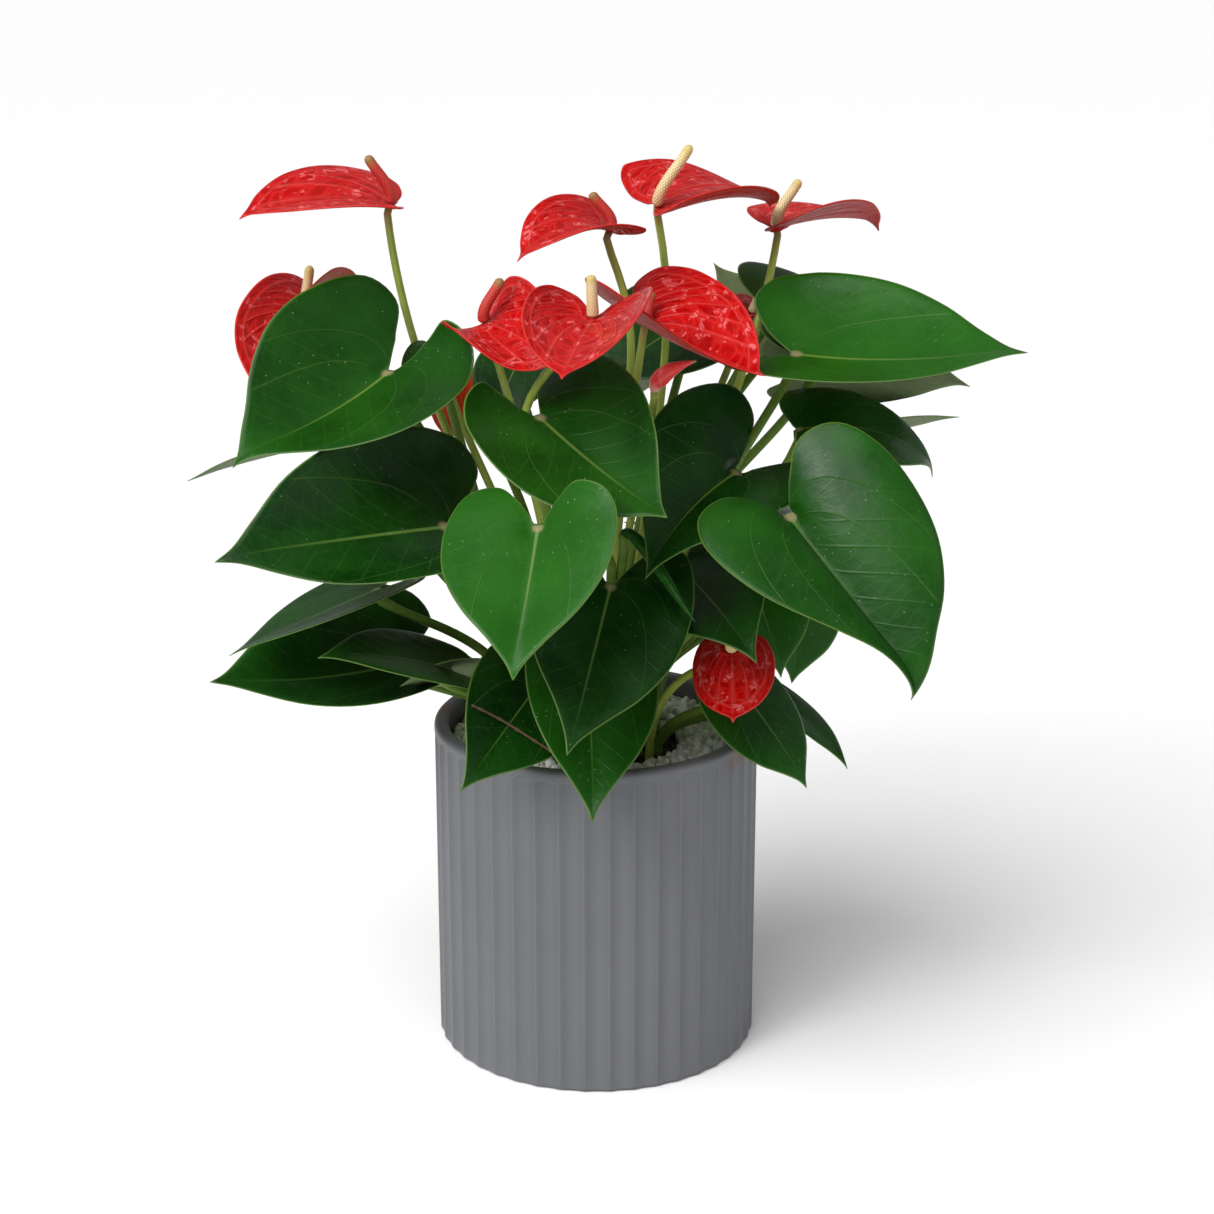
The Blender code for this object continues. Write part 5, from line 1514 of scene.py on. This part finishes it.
well = POT_RADIUS - POT_WALL - GAP
bark_centres = strewn(inner=2.0, outer=STONE_INNER + 1, pitch=5.0, height=SOIL_TOP + 1.0,
                      spread_height=1.2)
bark_sizes = random.uniform(BARK_SMALL, BARK_LARGE, (len(bark_centres), 3))
bark = lumps(bark_centres, bark_sizes, BARK_PLANES, random.random(len(bark_centres)))
filling = relief_body(inner=0.5, outer=well, bottom=POT_FLOOR + GAP, level=SOIL_TOP + 0.6, uneven=0.5)
put("soil_fine", [filling] + bark, potting_bark, "soil", "soil")

low_chips = strewn(inner=STONE_INNER + 3, outer=well - 2.6, pitch=5.0, height=STONE_LOW + 1.2,
                   spread_height=0.5)
high_chips = strewn(inner=STONE_INNER + 4.5, outer=well - 3.6, pitch=5.4, height=STONE_HIGH - 2.6,
                    spread_height=0.7)
chip_centres = np.vstack([low_chips, high_chips])
chip_sizes = CHIP_SIZE * random.uniform(*CHIP_SCALE, (len(chip_centres), 1))
chip_sizes = chip_sizes * random.uniform(*CHIP_STRETCH, (len(chip_centres), 3))
chips = lumps(chip_centres, chip_sizes, CHIP_PLANES, random.beta(*CHIP_SHADES, len(chip_centres)))
bed = relief_body(inner=STONE_INNER, outer=well, bottom=SOIL_TOP + GAP, level=STONE_LOW + 0.6,
                  uneven=0.4)
put("stone_chips_fine", [bed] + chips, marble_chips, "stone_chips", "stone_chips")
print("chips:", len(chips), "bark pieces:", len(bark), "faces in all:", sum(count for _, count in made))

# %% [markdown]
# A dry twig, shed by an older stalk, has dropped on the leaf over the left of the rim. It is a thin pipe
# along four points just above that leaf, with small swellings where buds once sat.

# %% Dry twig
TWIG_POINTS = ((-58.2, -94.8, 209.4), (-44.4, -88.8, 199.6), (-30.2, -92.3, 191.4), (-17.9, -95.4, 184.2))
TWIG_RADIUS = 0.7
TWIG_KNOTS = 5
TWIG_RINGS = 45
TWIG_SIDES = 8
TWIG_THIN = 0.85
KNOT_SWELL = 0.55
KNOT_WIDTH = 0.10

twig_line = smooth_curve(TWIG_POINTS, np.linspace(0, len(TWIG_POINTS) - 1, TWIG_RINGS))
swelling = np.exp(-((np.linspace(0, TWIG_KNOTS, TWIG_RINGS) % 1 - 0.5) / KNOT_WIDTH) ** 2)
twig_rings = pipe(twig_line, TWIG_RADIUS * (TWIG_THIN + KNOT_SWELL * swelling), TWIG_SIDES)
twig = ringed(twig_rings, around(TWIG_RINGS, TWIG_SIDES, 1.0))
put("dry_twig", [twig], dry_twig, "soil")
print("twig length:", round(float(np.linalg.norm(twig_line[-1] - twig_line[0]))), "mm")

# %% [markdown]
# The studio: a wide pale floor that runs far out on every side, a soft light from the upper left, and a
# bright even world that fills the shadows. The floor is stage, so it doesn't belong to the object.

# %% Floor, light and view
FLOOR_TONE = (0.96, 0.96, 0.96)
FLOOR_LEVEL = -0.0008
FLOOR_REACH = 140
WORLD_STRENGTH = 0.34
KEY_ENERGY = 2.8
KEY_WIDTH = 60
KEY_TURN = (38, 0, -40)
PLANT_MIDDLE = (0, 0, 0.3)
floor_finish = Finish("studio_floor", Roughness=0.9, Base_Color=FLOOR_TONE, Specular_IOR_Level=0.1)
floor_mesh = bpy.data.meshes.new("floor")
corners = [(x * FLOOR_REACH, y * FLOOR_REACH, FLOOR_LEVEL) for x, y in ((-1, -1), (1, -1), (1, 1), (-1, 1))]
floor_mesh.from_pydata(corners, [], [(0, 1, 2, 3)])
floor_mesh.materials.append(floor_finish.material)
floor = bpy.data.objects.new("floor", floor_mesh)
bpy.context.scene.collection.objects.link(floor)

world = bpy.data.worlds.new("studio")
world.use_nodes = True
world.node_tree.nodes["Background"].inputs["Color"].default_value = (1.0, 1.0, 1.0, 1.0)
world.node_tree.nodes["Background"].inputs["Strength"].default_value = WORLD_STRENGTH
bpy.context.scene.world = world


def soft_light(name, place, aim, width, power):
    """Square area light at a place, turned to its aim."""
    lamp_data = bpy.data.lights.new(name, "AREA")
    lamp_data.size = width
    lamp_data.energy = power
    lamp = bpy.data.objects.new(name, lamp_data)
    away = unit(np.subtract(place, aim))
    lamp.location = place
    lamp.rotation_euler = (math.acos(away[2]), 0, math.atan2(away[0], -away[1]))
    bpy.context.scene.collection.objects.link(lamp)


soft_light("window", (-1.2, -1.4, 1.7), PLANT_MIDDLE, width=0.6, power=15)
soft_light("fill", (1.8, -0.9, 1.0), PLANT_MIDDLE, width=1.6, power=4)

sun_data = bpy.data.lights.new("key", "SUN")
sun_data.energy = KEY_ENERGY
sun_data.angle = math.radians(KEY_WIDTH)
sun = bpy.data.objects.new("key", sun_data)
sun.rotation_euler = [math.radians(turn) for turn in KEY_TURN]
bpy.context.scene.collection.objects.link(sun)
print("lights:", len(bpy.data.lights))

# %% [markdown]
# Last, we count the pieces and name the one with the most faces. The fine pieces may not reach far past the
# solids, or the finished plant would touch things that its simulated twin clears.

# %% Count the pieces
print("pieces:", len(made), "largest:", max(made, key=lambda entry: entry[1]))
